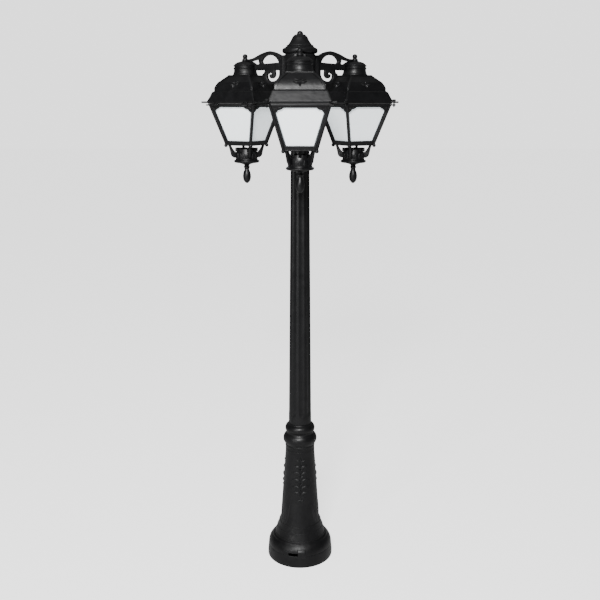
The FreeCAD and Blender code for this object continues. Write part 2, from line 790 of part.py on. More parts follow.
def ear_at(owner, turn, height, root_half, tip, thickness):
    """A round-ended ear that points out of a square's corner."""
    root = root_half / diagonal_share
    round_at = tip - ear_width / 2
    plan = outline(
        sketch(owner, "XY_Plane", height, turn),
        (root, -ear_width / 2), (round_at, -ear_width / 2),
        (tip, 0, round_at, ear_width / 2), (root, ear_width / 2))
    return raised(owner, "Pad", plan, thickness)


def pushed_through(name, depth, steps):
    """The vault under an outline: what two crossed pads of it have in common."""
    pads = []
    for turn in (0, 90):
        made = body(f"{name}_{turn}")
        raised(made, "Pad", outline(sketch(made, "XZ_Plane"), *steps), depth * 2, middle=True)
        pads.append(turned(made, turn))
    return joined("MultiCommon", name, pads)


def roof_steps(grown):
    """The roof's outline, all of it grown outwards by the same amount."""
    return both_sides(
        (0, grown), (platform_half + grown, grown), (platform_half + grown, -platform_edge),
        (swell_mid_half + grown * diagonal_share, -swell_mid_down + grown * diagonal_share,
         swell_half + grown, -swell_down),
        (swell_half + step_width + grown, -swell_down - step_down),
        (eave_half + grown, -roof_height + eave_thick), (eave_half + grown, -roof_height))


seal_thick = size("seal_thickness", 3)
knuckle_radius = size("knuckle_radius", 4)
hinge_out = eave_half + knuckle_radius * 0.8
hinge_down = roof_height + seal_thick + size("hinge_axis_drop", 2.5)
hinge_along = frame_half - size("hinge_inset", 37.5)
knuckle_length = size("frame_knuckle_length", 12)
roof_knuckle = size("roof_knuckle_length", 6)
pin_radius = size("hinge_pin_radius", 1.6)
pin_slack = size("hinge_pin_slack", 0.08)


def make_roof(name, azimuth):
    shell = pushed_through(f"{name}_outside", eave_half, roof_steps(rib_rise - rib_rise))
    inner_steps = both_sides(
        (0, -roof_wall), (platform_half - roof_wall, -roof_wall),
        (swell_mid_half - roof_wall * diagonal_share, -swell_mid_down - roof_wall * diagonal_share,
         swell_half - roof_wall, -swell_down - roof_wall / 2),
        (eave_inner, -roof_height + eave_thick * 2), (eave_inner, -roof_height - overrun))
    hollow = pushed_through(f"{name}_inside", eave_half, inner_steps)
    grown = pushed_through(f"{name}_grown", eave_half + rib_rise, roof_steps(rib_rise))
    slabs = []
    for turn in (45, 135):
        slab = body(f"{name}_slab_{turn}")
        plan = box_outline(
            sketch(slab, "XY_Plane", -roof_height), -eave_half / diagonal_share, eave_half / diagonal_share,
            -rib_width / 2, rib_width / 2)
        raised(slab, "Pad", plan, roof_height - platform_edge - rib_rise)
        slabs.append(turned(slab, turn))
    ribs = joined("MultiCommon", f"{name}_ribs", [grown, joined("MultiFuse", f"{name}_slabs", slabs)])

    trim = body(f"{name}_eave")
    plan = sketch(trim, "XY_Plane", -roof_height)
    square(square(plan, eave_half), eave_inner)
    raised(trim, "Pad", plan, eave_thick)
    for turn in corner_turns:
        ear_at(trim, turn, -roof_height, eave_inner, ear_tip, eave_thick)
    for side in sides:
        for end in sides:
            middle = -(hinge_along * side + (knuckle_length / 2 + slip_fit + roof_knuckle / 2) * end)
            web = sketch(trim, "XZ_Plane", middle)
            box_outline(
                web, frame_half + seat_gap * 1.5, hinge_out + knuckle_radius / 4, -hinge_down,
                -roof_height + eave_thick / 2)
            raised(trim, "Pad", web, roof_knuckle, middle=True)
            knuckle = ring(sketch(trim, "XZ_Plane", middle), hinge_out, -hinge_down, knuckle_radius)
            raised(trim, "Pad", knuckle, roof_knuckle, middle=True)
    bore = ring(sketch(trim, "XZ_Plane"), hinge_out, -hinge_down, pin_radius + pin_slack)
    raised(trim, "Pocket", bore, hinge_along * 3, middle=True)

    whole = joined("MultiFuse", f"{name}_whole", [shell, trim, ribs])
    tools = [hollow, upright(f"{name}_rod_hole", rod_radius + slip_fit, -roof_wall * 2, overrun)]
    latch_at = latch_out * diagonal_share
    ear_top = -roof_height + eave_thick
    for end in sides:
        tools.append(upright(
            f"{name}_latch_hole", latch_radius + slip_fit, -roof_height - overrun, ear_top + overrun,
            -latch_at, latch_at * end))
        tools.append(upright(
            f"{name}_knob_seat", knob_out + seat_gap, ear_top, ear_top + knob_height + overrun,
            -latch_at, latch_at * end))
    made = cut_from(name, whole, joined("MultiFuse", f"{name}_tools", tools))
    return piece(in_lantern(made, azimuth), name)


# Seal under the eave, in the parting line between roof and frame.
seal_inset = size("seal_inset", 3)


def make_seal(name, azimuth):
    made = body(name)
    plan = sketch(made, "XY_Plane", -roof_height - seal_thick)
    square(square(plan, eave_half - seal_inset), eave_inner + seal_inset)
    raised(made, "Pad", plan, seal_thick)
    return piece(in_lantern(made, azimuth), name)


# Lamp holder under the roof, and the lamp in it.
holder_radius = size("lamp_holder_radius", 20)
holder_flange = size("lamp_holder_flange", 17)
holder_neck = size("lamp_holder_neck", 13)
holder_length = size("lamp_holder_length", 50)
lamp_cap_radius = size("lamp_cap_radius", 13)
lamp_radius = size("lamp_radius", 30)
lamp_length = size("lamp_length", 108)
lamp_cap_length = size("lamp_cap_length", 24)


def make_lamp_holder(name, azimuth):
    top = -roof_wall
    low = top - holder_length
    socket = lamp_cap_radius + slip_fit * 2
    made = turned_piece(
        name, (rod_radius + slip_fit, top), (holder_flange, top), (holder_flange, top - holder_length * 0.1),
        (holder_neck, top - holder_length * 0.2), (holder_neck, top - holder_length * 0.4),
        (holder_radius, top - holder_length * 0.5), (holder_radius, low), (socket, low),
        (socket, low + lamp_cap_length + overrun), (rod_radius + slip_fit, low + lamp_cap_length + overrun))
    return piece(in_lantern(made, azimuth), name)


def make_lamp(name, azimuth):
    low = -roof_wall - holder_length
    top = low + lamp_cap_length
    end = top - lamp_length
    made = turned_piece(
        name, (0, top), (lamp_cap_radius, top), (lamp_cap_radius, low),
        (lamp_cap_radius * 1.3, low - seat_gap),
        (lamp_radius, end + lamp_radius),
        (lamp_radius * diagonal_share, end + lamp_radius * (1 - diagonal_share), 0, end))
    return piece(in_lantern(made, azimuth), name)


# Frame: a tapered square casting with a deep stile at each corner, a head and a sill between the stiles,
# scalloped brackets in the windows' upper corners, a floor, round feet, ears for the hand screws and two
# hinge knuckles. Head and sill stand back from the stiles.
frame_rim = size("frame_flange", 6)
frame_height = size("frame_height", 144.7)
frame_low_half = size("frame_low_half", 60.7)
frame_wall = size("frame_wall", 8)
frame_floor = size("frame_floor", 4)
flange_inner = frame_half - size("frame_flange_width", 6.5)
latch_ear = frame_half / diagonal_share + size("frame_latch_ear_reach", 14)
hinge_ear = frame_half / diagonal_share + size("frame_hinge_ear_reach", 7.5)
frame_inset = size("frame_wall_inset", 4)
stile_width = size("stile_width", 10.5)
stile_depth = size("stile_depth", 17)
foot_ball = size("frame_foot_radius", 7)
foot_out = frame_low_half / diagonal_share - foot_ball
frame_top = roof_height + seal_thick + seat_gap
flange_low = frame_top + frame_rim
frame_low = flange_low + frame_height


def frame_half_at(down):
    """Outside half width of the frame at a depth below the platform."""
    return frame_half + (frame_low_half - frame_half) * ((down - flange_low) / frame_height)


def window_half_at(down):
    """Half width of a window, which runs right up to the stiles' sides."""
    return frame_half_at(down) - frame_inset - stile_width * diagonal_share


window_top = flange_low + size("window_head", 7.5)
window_low = frame_low - size("window_sill", 14)
bracket_height = size("bracket_height", 18)
bracket_width = size("bracket_width", 29)
bracket_bulge = size("bracket_bulge", 1.5)
bracket_low = window_top + bracket_height
bracket_low_half = window_half_at(bracket_low)
bracket_top_half = bracket_low_half - bracket_width
bracket_notch_half = bracket_low_half - bracket_width * 0.455
bracket_notch = window_top + bracket_height * 0.37


def frustum(owner, kind, low, high):
    """A cut-off square pyramid between two levels, each a depth below the platform and a half width."""
    made = owner.newObject(f"PartDesign::{kind}Wedge", f"{owner.Name}_frustum")
    for name, level, (down, half) in (("", "Ymin", low), ("2", "Ymax", high)):
        bind(made, level, -down)
        for axis in "XZ":
            bind(made, f"{axis}{name}min", -half)
            bind(made, f"{axis}{name}max", half)
    made.Placement = Placement(Vector(), Rotation(Vector(1, 0, 0), 90))
    return made


def make_frame(name, azimuth):
    made = body(name)
    frustum(made, "Additive", (frame_low, frame_low_half - frame_inset), (flange_low, frame_half - frame_inset))
    rim = square(sketch(made, "XY_Plane", -flange_low), frame_half)
    raised(made, "Pad", rim, frame_rim)
    ball = made.newObject("PartDesign::AdditiveSphere", "frame_foot")
    bind(ball, "Radius", foot_ball)
    at = foot_out * diagonal_share
    turned(ball, 0, at, at, -frame_low - foot_ball / 8)
    repeated(made, [ball], corners_of_a_square)
    floor_at = frame_low - frame_floor
    frustum(
        made, "Subtractive", (floor_at, frame_half_at(floor_at) - frame_inset - frame_wall),
        (flange_low, frame_half - frame_inset - frame_wall))
    mouth = square(sketch(made, "XY_Plane", -flange_low), flange_inner)
    raised(made, "Pocket", mouth, frame_rim + overrun, reverse=True)
    for role in ("XZ_Plane", "YZ_Plane"):
        window = outline(sketch(made, role), *both_sides(
            (0, -window_top), (bracket_top_half, -window_top),
            ((bracket_top_half + bracket_notch_half) / 2 - bracket_bulge * 0.4,
             -(window_top + bracket_notch) / 2 - bracket_bulge * 0.9, bracket_notch_half, -bracket_notch),
            ((bracket_notch_half + bracket_low_half) / 2 - bracket_bulge * 0.65,
             -(bracket_notch + bracket_low) / 2 - bracket_bulge * 0.75, bracket_low_half, -bracket_low),
            (window_half_at(window_low), -window_low)))
        raised(made, "Pocket", window, frame_half * 3, middle=True)
    stile_out = frame_half / diagonal_share - stile_width / 2
    stile_low_out = frame_low_half / diagonal_share - stile_width / 2
    stile = outline(
        sketch(made, "XZ_Plane", swing=45),
        (stile_out - stile_depth, -flange_low), (stile_out, -flange_low), (stile_low_out, -frame_low),
        (stile_low_out - stile_depth, -frame_low))
    repeated(made, [raised(made, "Pad", stile, stile_width, middle=True)], corners_of_a_square)
    for turn in corner_turns:
        tip = hinge_ear if turn in hinge_turns else latch_ear
        ear_at(made, turn, -flange_low, flange_inner, tip, frame_rim - seat_gap)
    for side in sides:
        web = sketch(made, "XZ_Plane", hinge_along * side)
        box_outline(web, frame_half - frame_wall / 2, hinge_out, -flange_low, -frame_top - seat_gap)
        raised(made, "Pad", web, knuckle_length, middle=True)
        knuckle = ring(sketch(made, "XZ_Plane", hinge_along * side), hinge_out, -hinge_down, knuckle_radius)
        raised(made, "Pad", knuckle, knuckle_length, middle=True)
    bore = ring(sketch(made, "XZ_Plane"), hinge_out, -hinge_down, pin_radius + pin_slack)
    raised(made, "Pocket", bore, hinge_along * 2.4, middle=True)
    latch_at = latch_out * diagonal_share
    for end in sides:
        hole = ring(
            sketch(made, "XY_Plane", -flange_low - overrun), -latch_at, latch_at * end,
            latch_radius + latch_slack)
        raised(made, "Pocket", hole, frame_rim + overrun * 2, reverse=True)
    return piece(in_lantern(made, azimuth), name)


# Panes: four flat opal sheets inside the frame, each between two of its corner stiles.
pane_thick = size("pane_thickness", 3)


def make_panes(name, azimuth):
    levels = []
    for down in (frame_low - frame_floor - seat_gap, flange_low + seat_gap):
        levels.append((down, frame_half_at(down) - stile_depth * diagonal_share - seat_gap))
    outer = body(f"{name}_outer")
    frustum(outer, "Additive", *levels)
    inner = body(f"{name}_inner")
    frustum(inner, "Additive", *[(down, half - pane_thick) for down, half in levels])
    tools = [inner]
    for turn in (45, 135):
        slit = body(f"{name}_slit_{turn}")
        edge = stile_width / 2 + seat_gap
        plan = box_outline(
            sketch(slit, "XY_Plane", -frame_low), -frame_half * 1.5, frame_half * 1.5, -edge, edge)
        raised(slit, "Pad", plan, frame_low - roof_height)
        tools.append(turned(slit, turn))
    made = cut_from(name, outer, joined("MultiFuse", f"{name}_tools", tools))
    return piece(in_lantern(made, azimuth), name)


# Crown: a notched cup on four curved legs that reach down and inwards from the frame's corners.
crown_top = frame_low + size("crown_drop", 14)
crown_radius = size("crown_radius", 35)
crown_belly = size("crown_belly_radius", 41)
crown_belly_down = crown_top + size("crown_belly_drop", 31)
crown_rim = size("crown_rim_radius", 47)
crown_rim_down = crown_belly_down + size("crown_rim_drop", 18)
crown_low = crown_rim_down + size("crown_base_drop", 13)
crown_wall = size("crown_wall", 4)
drop_neck = size("drop_neck_radius", 9.4)
leg_thick = size("leg_thickness", 9.5)
leg_top_out = frame_low_half + size("leg_top_reach", 9.3)
leg_width = size("leg_width", 9)
notches = 8
notch_width = size("crown_notch_width", 11)
notch_depth = size("crown_notch_depth", 10)
finial_stud = size("drop_stud_radius", 4)


def make_crown(name, azimuth):
    made = body(name)
    spun(made, outline(
        sketch(made, "XZ_Plane"),
        (finial_stud, -crown_low), (drop_neck, -crown_low),
        (crown_belly / 2, -crown_low + crown_wall),
        (crown_rim - crown_wall, -crown_rim_down - crown_wall / 2),
        (crown_rim, -crown_rim_down, crown_rim - crown_wall, -crown_rim_down + crown_wall),
        (crown_belly, -crown_belly_down - crown_wall), (crown_belly, -crown_belly_down + crown_wall),
        (crown_radius + crown_wall / 2, -crown_top - notch_depth), (crown_radius, -crown_top),
        (crown_radius - crown_wall, -crown_top), (crown_radius - crown_wall, -crown_rim_down + crown_wall),
        (finial_stud, -crown_rim_down + crown_wall)))
    gap = box_outline(
        sketch(made, "YZ_Plane"), -notch_width / 2, notch_width / 2, -crown_top - notch_depth,
        -crown_top + overrun)
    cut = raised(made, "Pocket", gap, crown_belly + overrun, reverse=True)
    repeated(made, [cut], notches)
    leg = outline(
        sketch(made, "XZ_Plane"),
        (leg_top_out - leg_thick, -frame_low), (leg_top_out, -frame_low),
        (leg_top_out - leg_thick * 0.72, -crown_top - leg_thick * 0.2,
         leg_top_out - leg_thick * 1.2, -crown_belly_down + leg_thick * 1.37),
        (leg_top_out - leg_thick * 1.74, -crown_belly_down + leg_thick * 0.4,
         crown_belly + leg_thick * 0.2, -crown_belly_down - leg_thick * 0.1),
        (crown_radius, -crown_belly_down - leg_thick * 0.1), (crown_radius, -crown_top - leg_thick * 1.26),
        (crown_belly + leg_thick * 0.26, -crown_top - leg_thick * 1.26),
        (leg_top_out - leg_thick * 2.05, -crown_top - leg_thick * 0.42,
         leg_top_out - leg_thick, -frame_low))
    repeated(made, [raised(made, "Pad", leg, leg_width, middle=True)], corners_of_a_square)
    return piece(in_lantern(made, azimuth, 45), name)


# Drop finial: a turned baluster screwed up into the crown.
drop_bead = size("drop_bead_radius", 11)
drop_bulb = size("drop_bulb_radius", 15)
drop_length = size("drop_length", 68.5)
drop_stud_height = size("drop_stud_height", 14)


def make_drop(name, azimuth):
    def down(share):
        return -crown_low - drop_length * share

    end = down(1)
    made = turned_piece(
        name, (0, -crown_low + drop_stud_height), (finial_stud - slip_fit / 2, -crown_low + drop_stud_height),
        (finial_stud - slip_fit / 2, -crown_low), (drop_neck, -crown_low),
        (drop_bead, down(0.1), drop_neck, down(0.2)),
        (drop_neck * 0.96, down(0.24)),
        (drop_bulb * 0.9, down(0.42), drop_bulb, down(0.6)), (drop_bulb, end + drop_bulb),
        (drop_bulb * diagonal_share, end + drop_bulb * (1 - diagonal_share), 0, end))
    return piece(in_lantern(made, azimuth), name)


# Hinge pins: two steel pins in the knuckles, along the lantern's own side.
def make_hinge_pins(name, azimuth):
    pins = []
    length = knuckle_length + (roof_knuckle + slip_fit) * 2
    for side in sides:
        pin = doc.addObject("Part::Cylinder", f"{name}_pin")
        bind(pin, "Radius", pin_radius)
        bind(pin, "Height", length)
        middle = hinge_along * side - length / 2
        pin.Placement = Placement(
            Vector(hinge_out.value, middle.value, -hinge_down.value), Rotation(Vector(1, 0, 0), -90))
        bind(pin, ".Placement.Base.x", hinge_out)
        bind(pin, ".Placement.Base.y", middle)
        bind(pin, ".Placement.Base.z", -hinge_down)
        pins.append(pin)
    made = doc.addObject("Part::Compound", name)
    made.Links = pins
    return piece(in_lantern(made, azimuth), name)


# Hand screws at the two corners away from the hinge. Each knob stands on the roof's ear.
knob_scallop = size("hand_knob_scallop", 2)
screw_below = size("hand_screw_below_ear", 5)
scallops = 6


def make_hand_screw(name, azimuth, end):
    made = body(name)
    seat = -roof_height + eave_thick + seat_gap
    tip = -flange_low - screw_below
    spun(made, outline(
        sketch(made, "XZ_Plane"),
        (0, tip), (latch_radius * 0.7, tip), (latch_radius, tip + latch_radius * 0.4), (latch_radius, seat),
        (knob_out, seat), (knob_out, seat + knob_height * 0.7), (knob_out * 0.7, seat + knob_height),
        (0, seat + knob_height)))
    bite = ring(sketch(made, "XY_Plane", seat - overrun / 8), knob_out + knob_scallop / 2, 0, knob_scallop)
    cut = raised(made, "Pocket", bite, knob_height + overrun, reverse=True)
    repeated(made, [cut], scallops)
    angle = math.radians(azimuth)
    turn = math.radians(azimuth + 90 + latch_turns[0 if end > 0 else 1])
    x = arm_reach * math.cos(angle) + latch_out * math.cos(turn)
    y = arm_reach * math.sin(angle) + latch_out * math.sin(turn)
    return piece(turned(made, azimuth, x, y, platform), name)


make_ground_flange()
make_foot()
make_collar()
make_shaft()
make_core_tube()
make_hub()
make_hub_cap()
make_hub_finial()
make_hub_stud()
make_terminal_plate()
make_terminal_block()
make_arm_screws()
for side, azimuth in (("front", -90), ("right", 30), ("left", 150)):
    make_arm(f"{side}_arm", azimuth)
    make_cap(f"{side}_cap", azimuth)
    make_finial(f"{side}_ball_nut", azimuth)
    make_tie_rod(f"{side}_tie_rod", azimuth)
    make_roof(f"{side}_roof", azimuth)
    make_seal(f"{side}_seal", azimuth)
    make_lamp_holder(f"{side}_lamp_holder", azimuth)
    make_lamp(f"{side}_lamp", azimuth)
    make_frame(f"{side}_frame", azimuth)
    make_panes(f"{side}_panes", azimuth)
    make_crown(f"{side}_crown", azimuth)
    make_drop(f"{side}_drop_finial", azimuth)
    make_hinge_pins(f"{side}_hinge_pins", azimuth)
    make_hand_screw(f"{side}_outer_hand_screw", azimuth, -1)
    make_hand_screw(f"{side}_inner_hand_screw", azimuth, 1)

doc.recompute()

for thing in doc.Objects:
    if "Invalid" in thing.State or "Error" in thing.State:
        raise RuntimeError(f"{thing.Label} did not compute: {thing.State}")
for thing in nodes:
    if thing.Shape.isNull() or not thing.Shape.isValid():
        raise RuntimeError(f"{thing.Label} has no valid shape")

os.makedirs("parts", exist_ok=True)
for thing in nodes:
    thing.Shape.exportStep(f"parts/{thing.Label}.step")
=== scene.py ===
import math

import bmesh
import bpy
from mathutils import Matrix, Vector


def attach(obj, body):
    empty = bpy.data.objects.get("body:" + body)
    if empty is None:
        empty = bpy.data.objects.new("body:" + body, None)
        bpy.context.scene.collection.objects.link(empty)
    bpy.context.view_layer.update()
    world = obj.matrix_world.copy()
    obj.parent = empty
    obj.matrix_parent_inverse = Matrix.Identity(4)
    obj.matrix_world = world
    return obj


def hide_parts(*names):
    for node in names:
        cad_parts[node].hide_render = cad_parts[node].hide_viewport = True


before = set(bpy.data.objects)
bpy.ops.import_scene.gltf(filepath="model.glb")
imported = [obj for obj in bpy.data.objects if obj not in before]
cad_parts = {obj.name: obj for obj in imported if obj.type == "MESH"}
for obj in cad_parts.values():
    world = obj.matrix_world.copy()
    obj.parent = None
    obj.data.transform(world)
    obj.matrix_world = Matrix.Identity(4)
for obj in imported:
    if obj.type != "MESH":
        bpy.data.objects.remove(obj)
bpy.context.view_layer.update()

# Stage: a plain pale floor, soft studio light and a camera at the photograph's angle. Wall and floor glow
# for the camera alone, so that they look pale without flooding the black castings with light.
camera_place = (0, -2.995, 1.8044)
camera_dip = 13.778
film_width = 36
lens_length = 48.27
room_light = 0.16
wall_glow = 2.0
floor_reach = 30
floor_glow_seen = 1.75
floor_glow_always = 0.1


def new_object(name, data):
    """An object in the scene."""
    thing = bpy.data.objects.new(name, data)
    bpy.context.scene.collection.objects.link(thing)
    return thing


def new_material(name):
    """A material with its node tree and its shader."""
    material = bpy.data.materials.new(name)
    material.use_nodes = True
    return material, material.node_tree, material.node_tree.nodes["Principled BSDF"]


def softbox(name, place, aim, width, height, power):
    """A rectangular studio light that looks at a point."""
    data = bpy.data.lights.new(name, "AREA")
    data.shape = "RECTANGLE"
    data.size = width
    data.size_y = height
    data.energy = power
    lamp = new_object(name, data)
    lamp.location = place
    lamp.rotation_euler = (Vector(aim) - Vector(place)).to_track_quat("-Z", "Y").to_euler()


camera_data = bpy.data.cameras.new("camera")
camera_data.sensor_width = film_width
camera_data.lens = lens_length
camera = new_object("camera", camera_data)
camera.location = camera_place
camera.rotation_euler = (math.radians(90 - camera_dip), 0, 0)
bpy.context.scene.camera = camera
softbox("key", place=(-0.6, -4.2, 3.9), aim=(0, 0, 1.5), width=0.9, height=0.8, power=420)
softbox("fill", place=(-2.3, -3.3, 1.7), aim=(0, 0, 0.9), width=0.4, height=2.0, power=54)
softbox("top", place=(0, 0.4, 5.2), aim=(0, 0, 0), width=4.0, height=3.0, power=15)

world = bpy.data.worlds.new("studio")
world.use_nodes = True
studio_nodes, studio_links = world.node_tree.nodes, world.node_tree.links
studio_room = studio_nodes["Background"]
studio_room.inputs["Color"].default_value = (0.93, 0.94, 0.95, 1)
studio_room.inputs["Strength"].default_value = room_light
studio_wall = studio_nodes.new("ShaderNodeBackground")
studio_wall.inputs["Color"].default_value = (1, 1, 1, 1)
studio_wall.inputs["Strength"].default_value = wall_glow
studio_seen = studio_nodes.new("ShaderNodeLightPath")
studio_mix = studio_nodes.new("ShaderNodeMixShader")
studio_links.new(studio_seen.outputs["Is Camera Ray"], studio_mix.inputs["Fac"])
studio_links.new(studio_room.outputs["Background"], studio_mix.inputs[1])
studio_links.new(studio_wall.outputs["Background"], studio_mix.inputs[2])
studio_links.new(studio_mix.outputs["Shader"], studio_nodes["World Output"].inputs["Surface"])
bpy.context.scene.world = world

floor_mesh = bpy.data.meshes.new("floor")
floor_corners = [(-floor_reach, -floor_reach, 0), (floor_reach, -floor_reach, 0),
                 (floor_reach, floor_reach, 0), (-floor_reach, floor_reach, 0)]
floor_mesh.from_pydata(floor_corners, [], [(0, 1, 2, 3)])
floor = new_object("floor", floor_mesh)
floor_paint, floor_tree, floor_shader = new_material("floor_paint")
floor_shader.inputs["Base Color"].default_value = (0.6, 0.6, 0.6, 1)
floor_shader.inputs["Roughness"].default_value = 0.9
floor_shader.inputs["Specular IOR Level"].default_value = 0.1
floor_shader.inputs["Emission Color"].default_value = (1, 1, 1, 1)
floor_glow = floor_tree.nodes.new("ShaderNodeMath")
floor_glow.operation = "MULTIPLY_ADD"
floor_glow.inputs[1].default_value = floor_glow_seen
floor_glow.inputs[2].default_value = floor_glow_always
floor_seen = floor_tree.nodes.new("ShaderNodeLightPath")
floor_tree.links.new(floor_seen.outputs["Is Camera Ray"], floor_glow.inputs[0])
floor_tree.links.new(floor_glow.outputs["Value"], floor_shader.inputs["Emission Strength"])
floor_mesh.materials.append(floor_paint)

# Ground flange: a ring with a floor that is bolted down through three holes. It is cast in resin, black
# right through, with a fine sandy grain and soft edges painted paler, partly as wear and partly as a
# painted highlight. Three lugs on its rim lock the foot.
mm = 0.001
third = 120
arc_step = math.radians(9)
least_corner = math.radians(16)
longest_cut = 0.45
on_axis = 1e-7
weld_gap = 0.00001
sliver = 0.000005
crease_angle = 46
# Grey for convex edges: partly edge wear, partly a painted highlight.
edge_wear_and_highlight_grey = (0.016, 0.016, 0.017, 1)
slip = 0.25
flange_radius = 131
flange_floor = 12
socket_top = 60
socket_wall = 8
lug_width = 30
anchor_circle = 88
anchor_radius = 7
lock_turn = -90 + 2.7


def reach(node, axis):
    """How far a CAD node reaches along an axis, low and high, to a hundredth of a millimetre."""
    values = [getattr(corner.co, axis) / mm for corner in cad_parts[node].data.vertices]
    return round(min(values), 2), round(max(values), 2)


def arc(here, via, there):
    """Points between here and there on the circle through all three."""
    b = via - here
    c = there - here
    cross = 2 * (b.x * c.y - b.y * c.x)
    middle = Vector((c.y * b.dot(b) - b.y * c.dot(c), b.x * c.dot(c) - c.x * b.dot(b))) / cross
    first = math.atan2(-middle.y, -middle.x)
    last = math.atan2(c.y - middle.y, c.x - middle.x)
    sweep = (last - first) % math.tau
    if cross < 0:
        sweep -= math.tau
    count = max(2, math.ceil(abs(sweep) / arc_step))
    centre = here + middle
    turns = [first + sweep * k / count for k in range(1, count)]
    return [centre + Vector((math.cos(angle), math.sin(angle))) * middle.length for angle in turns]


def path(start, *steps):
    """An outline in metres from millimetres: two numbers are a line, four an arc by way of a point."""
    points = [Vector(start) * mm]
    for step in steps:
        there = Vector(step[-2:]) * mm
        if len(step) == 4:
            points += arc(points[-1], Vector(step[:2]) * mm, there)
        points.append(there)
    return points


def eased(points, radius, closed=True):
    """The outline with each sharp corner rounded off."""
    out = []
    count = len(points)
    for k, corner in enumerate(points):
        before, after = points[k - 1] - corner, points[(k + 1) % count] - corner
        open_end = not closed and k in (0, count - 1)
        bend = 0 if open_end else math.pi - before.angle(after, math.pi)
        if bend < least_corner:
            out.append(corner)
            continue
        cut = min(radius * math.tan(bend / 2), before.length * longest_cut, after.length * longest_cut)
        start = corner + before.normalized() * cut
        end = corner + after.normalized() * cut
        for share in (0, 1 / 3, 2 / 3, 1):
            out.append(start * (1 - share) ** 2 + corner * 2 * share * (1 - share) + end * share ** 2)
    return out


def skin(rings, closed=False):
    """A shell, points and faces, through rings of points. A ring of one point is a pole."""
    points = []
    starts = []
    for ring in rings:
        starts.append(len(points))
        points += ring
    pairs = list(zip(range(len(rings) - 1), range(1, len(rings))))
    if closed:
        pairs.append((len(rings) - 1, 0))
    faces = []
    for a, b in pairs:
        count = max(len(rings[a]), len(rings[b]))
        for k in range(count):
            after = (k + 1) % count
            if len(rings[a]) == 1:
                faces.append((starts[a], starts[b] + after, starts[b] + k))
            elif len(rings[b]) == 1:
                faces.append((starts[a] + k, starts[a] + after, starts[b]))
            else:
                faces.append((starts[a] + k, starts[a] + after, starts[b] + after, starts[b] + k))
    return points, faces


def lathe(profile, around=96, shaped=None):
    """A turned shell from its half profile. shaped may change radius and height at an angle."""
    rings = []
    for radius, height in profile:
        if radius < on_axis:
            rings.append([Vector((0, 0, height))])
            continue
        ring = []
        for k in range(around):
            angle = math.tau * k / around
            r, z = shaped(angle, radius, height) if shaped else (radius, height)
            ring.append(Vector((r * math.cos(angle), r * math.sin(angle), z)))
        rings.append(ring)
    return skin(rings, closed=profile[0][0] > on_axis)


def moved(shell, *matrices):
    """The shell after each matrix in turn."""
    points, faces = shell
    for matrix in matrices:
        points = [matrix @ point for point in points]
    return points, faces


def turn(degrees, axis="Z"):
    return Matrix.Rotation(math.radians(degrees), 4, axis)


def shift(x, y, z):
    return Matrix.Translation((x * mm, y * mm, z * mm))


def thrice(shell, first):
    """Three copies of a shell, a third of a turn apart."""
    return [moved(shell, turn(first + third * k)) for k in range(3)]


def baked(thing):
    """The mesh that a piece's modifiers leave."""
    return bpy.data.meshes.new_from_object(thing.evaluated_get(bpy.context.evaluated_depsgraph_get()))


def piece(name, *shells):
    """One object from shells, with faces outwards and smooth up to the crease angle."""
    built = bmesh.new()
    for points, faces in shells:
        made = [built.verts.new(point) for point in points]
        for face in faces:
            corners = [made[k] for k in face]
            if len(set(corners)) > 2:
                built.faces.new(corners)
    bmesh.ops.remove_doubles(built, verts=built.verts, dist=weld_gap)
    bmesh.ops.dissolve_degenerate(built, edges=built.edges, dist=sliver)
    bmesh.ops.recalc_face_normals(built, faces=built.faces)
    mesh = bpy.data.meshes.new(name)
    built.to_mesh(mesh)
    built.free()
    for face in mesh.polygons:
        face.use_smooth = True
    mesh.set_sharp_from_angle(angle=math.radians(crease_angle))
    return new_object(name, mesh)


def plate(outlines, thickness, edge, *matrices):
    """A flat shell in X and Z, cut to outlines of which all but the first are holes, with rounded edges."""
    curve = bpy.data.curves.new("plate", "CURVE")
    curve.dimensions = "2D"
    curve.fill_mode = "BOTH"
    curve.extrude = (thickness / 2 - edge) * mm
    curve.bevel_depth = edge * mm
    curve.bevel_resolution = 2
    curve.offset = -edge * mm
    for outline in outlines:
        spline = curve.splines.new("POLY")
        spline.points.add(len(outline) - 1)
        spline.use_cyclic_u = True
        for point, (x, z) in zip(spline.points, outline):
            point.co = (x, z, 0, 1)
    thing = new_object("plate", curve)
    mesh = baked(thing)
    points = [turn(90, "X") @ corner.co for corner in mesh.vertices]
    faces = [tuple(face.vertices) for face in mesh.polygons]
    bpy.data.objects.remove(thing)
    return moved((points, faces), *matrices)


def cut_away(thing, *shells):
    """Take shells out of a piece."""
    tool = piece("tool", *shells)
    modifier = thing.modifiers.new("cut", "BOOLEAN")
    modifier.object = tool
    modifier.solver = "EXACT"
    mesh = baked(thing)
    thing.modifiers.clear()
    thing.data = mesh
    mesh.set_sharp_from_angle(angle=math.radians(crease_angle))
    bpy.data.objects.remove(tool)


def noise(tree, scale, detail=3):
    """Noise on the object's own coordinates."""
    place = tree.nodes.get("Place") or tree.nodes.new("ShaderNodeTexCoord")
    place.name = "Place"
    made = tree.nodes.new("ShaderNodeTexNoise")
    made.inputs["Scale"].default_value = scale
    made.inputs["Detail"].default_value = detail
    tree.links.new(place.outputs["Object"], made.inputs["Vector"])
    return made.outputs["Fac"]


def ramp(tree, source, target, *stops):
    """Colour stops between two sockets; a stop is a place and a colour or a grey."""
    made = tree.nodes.new("ShaderNodeValToRGB")
    while len(made.color_ramp.elements) < len(stops):
        made.color_ramp.elements.new(0.5)
    for element, (place, colour) in zip(made.color_ramp.elements, stops):
        element.position = place
        element.color = (*colour, 1) if isinstance(colour, tuple) else (colour, colour, colour, 1)
    tree.links.new(source, made.inputs["Fac"])
    tree.links.new(made.outputs["Color"], target)


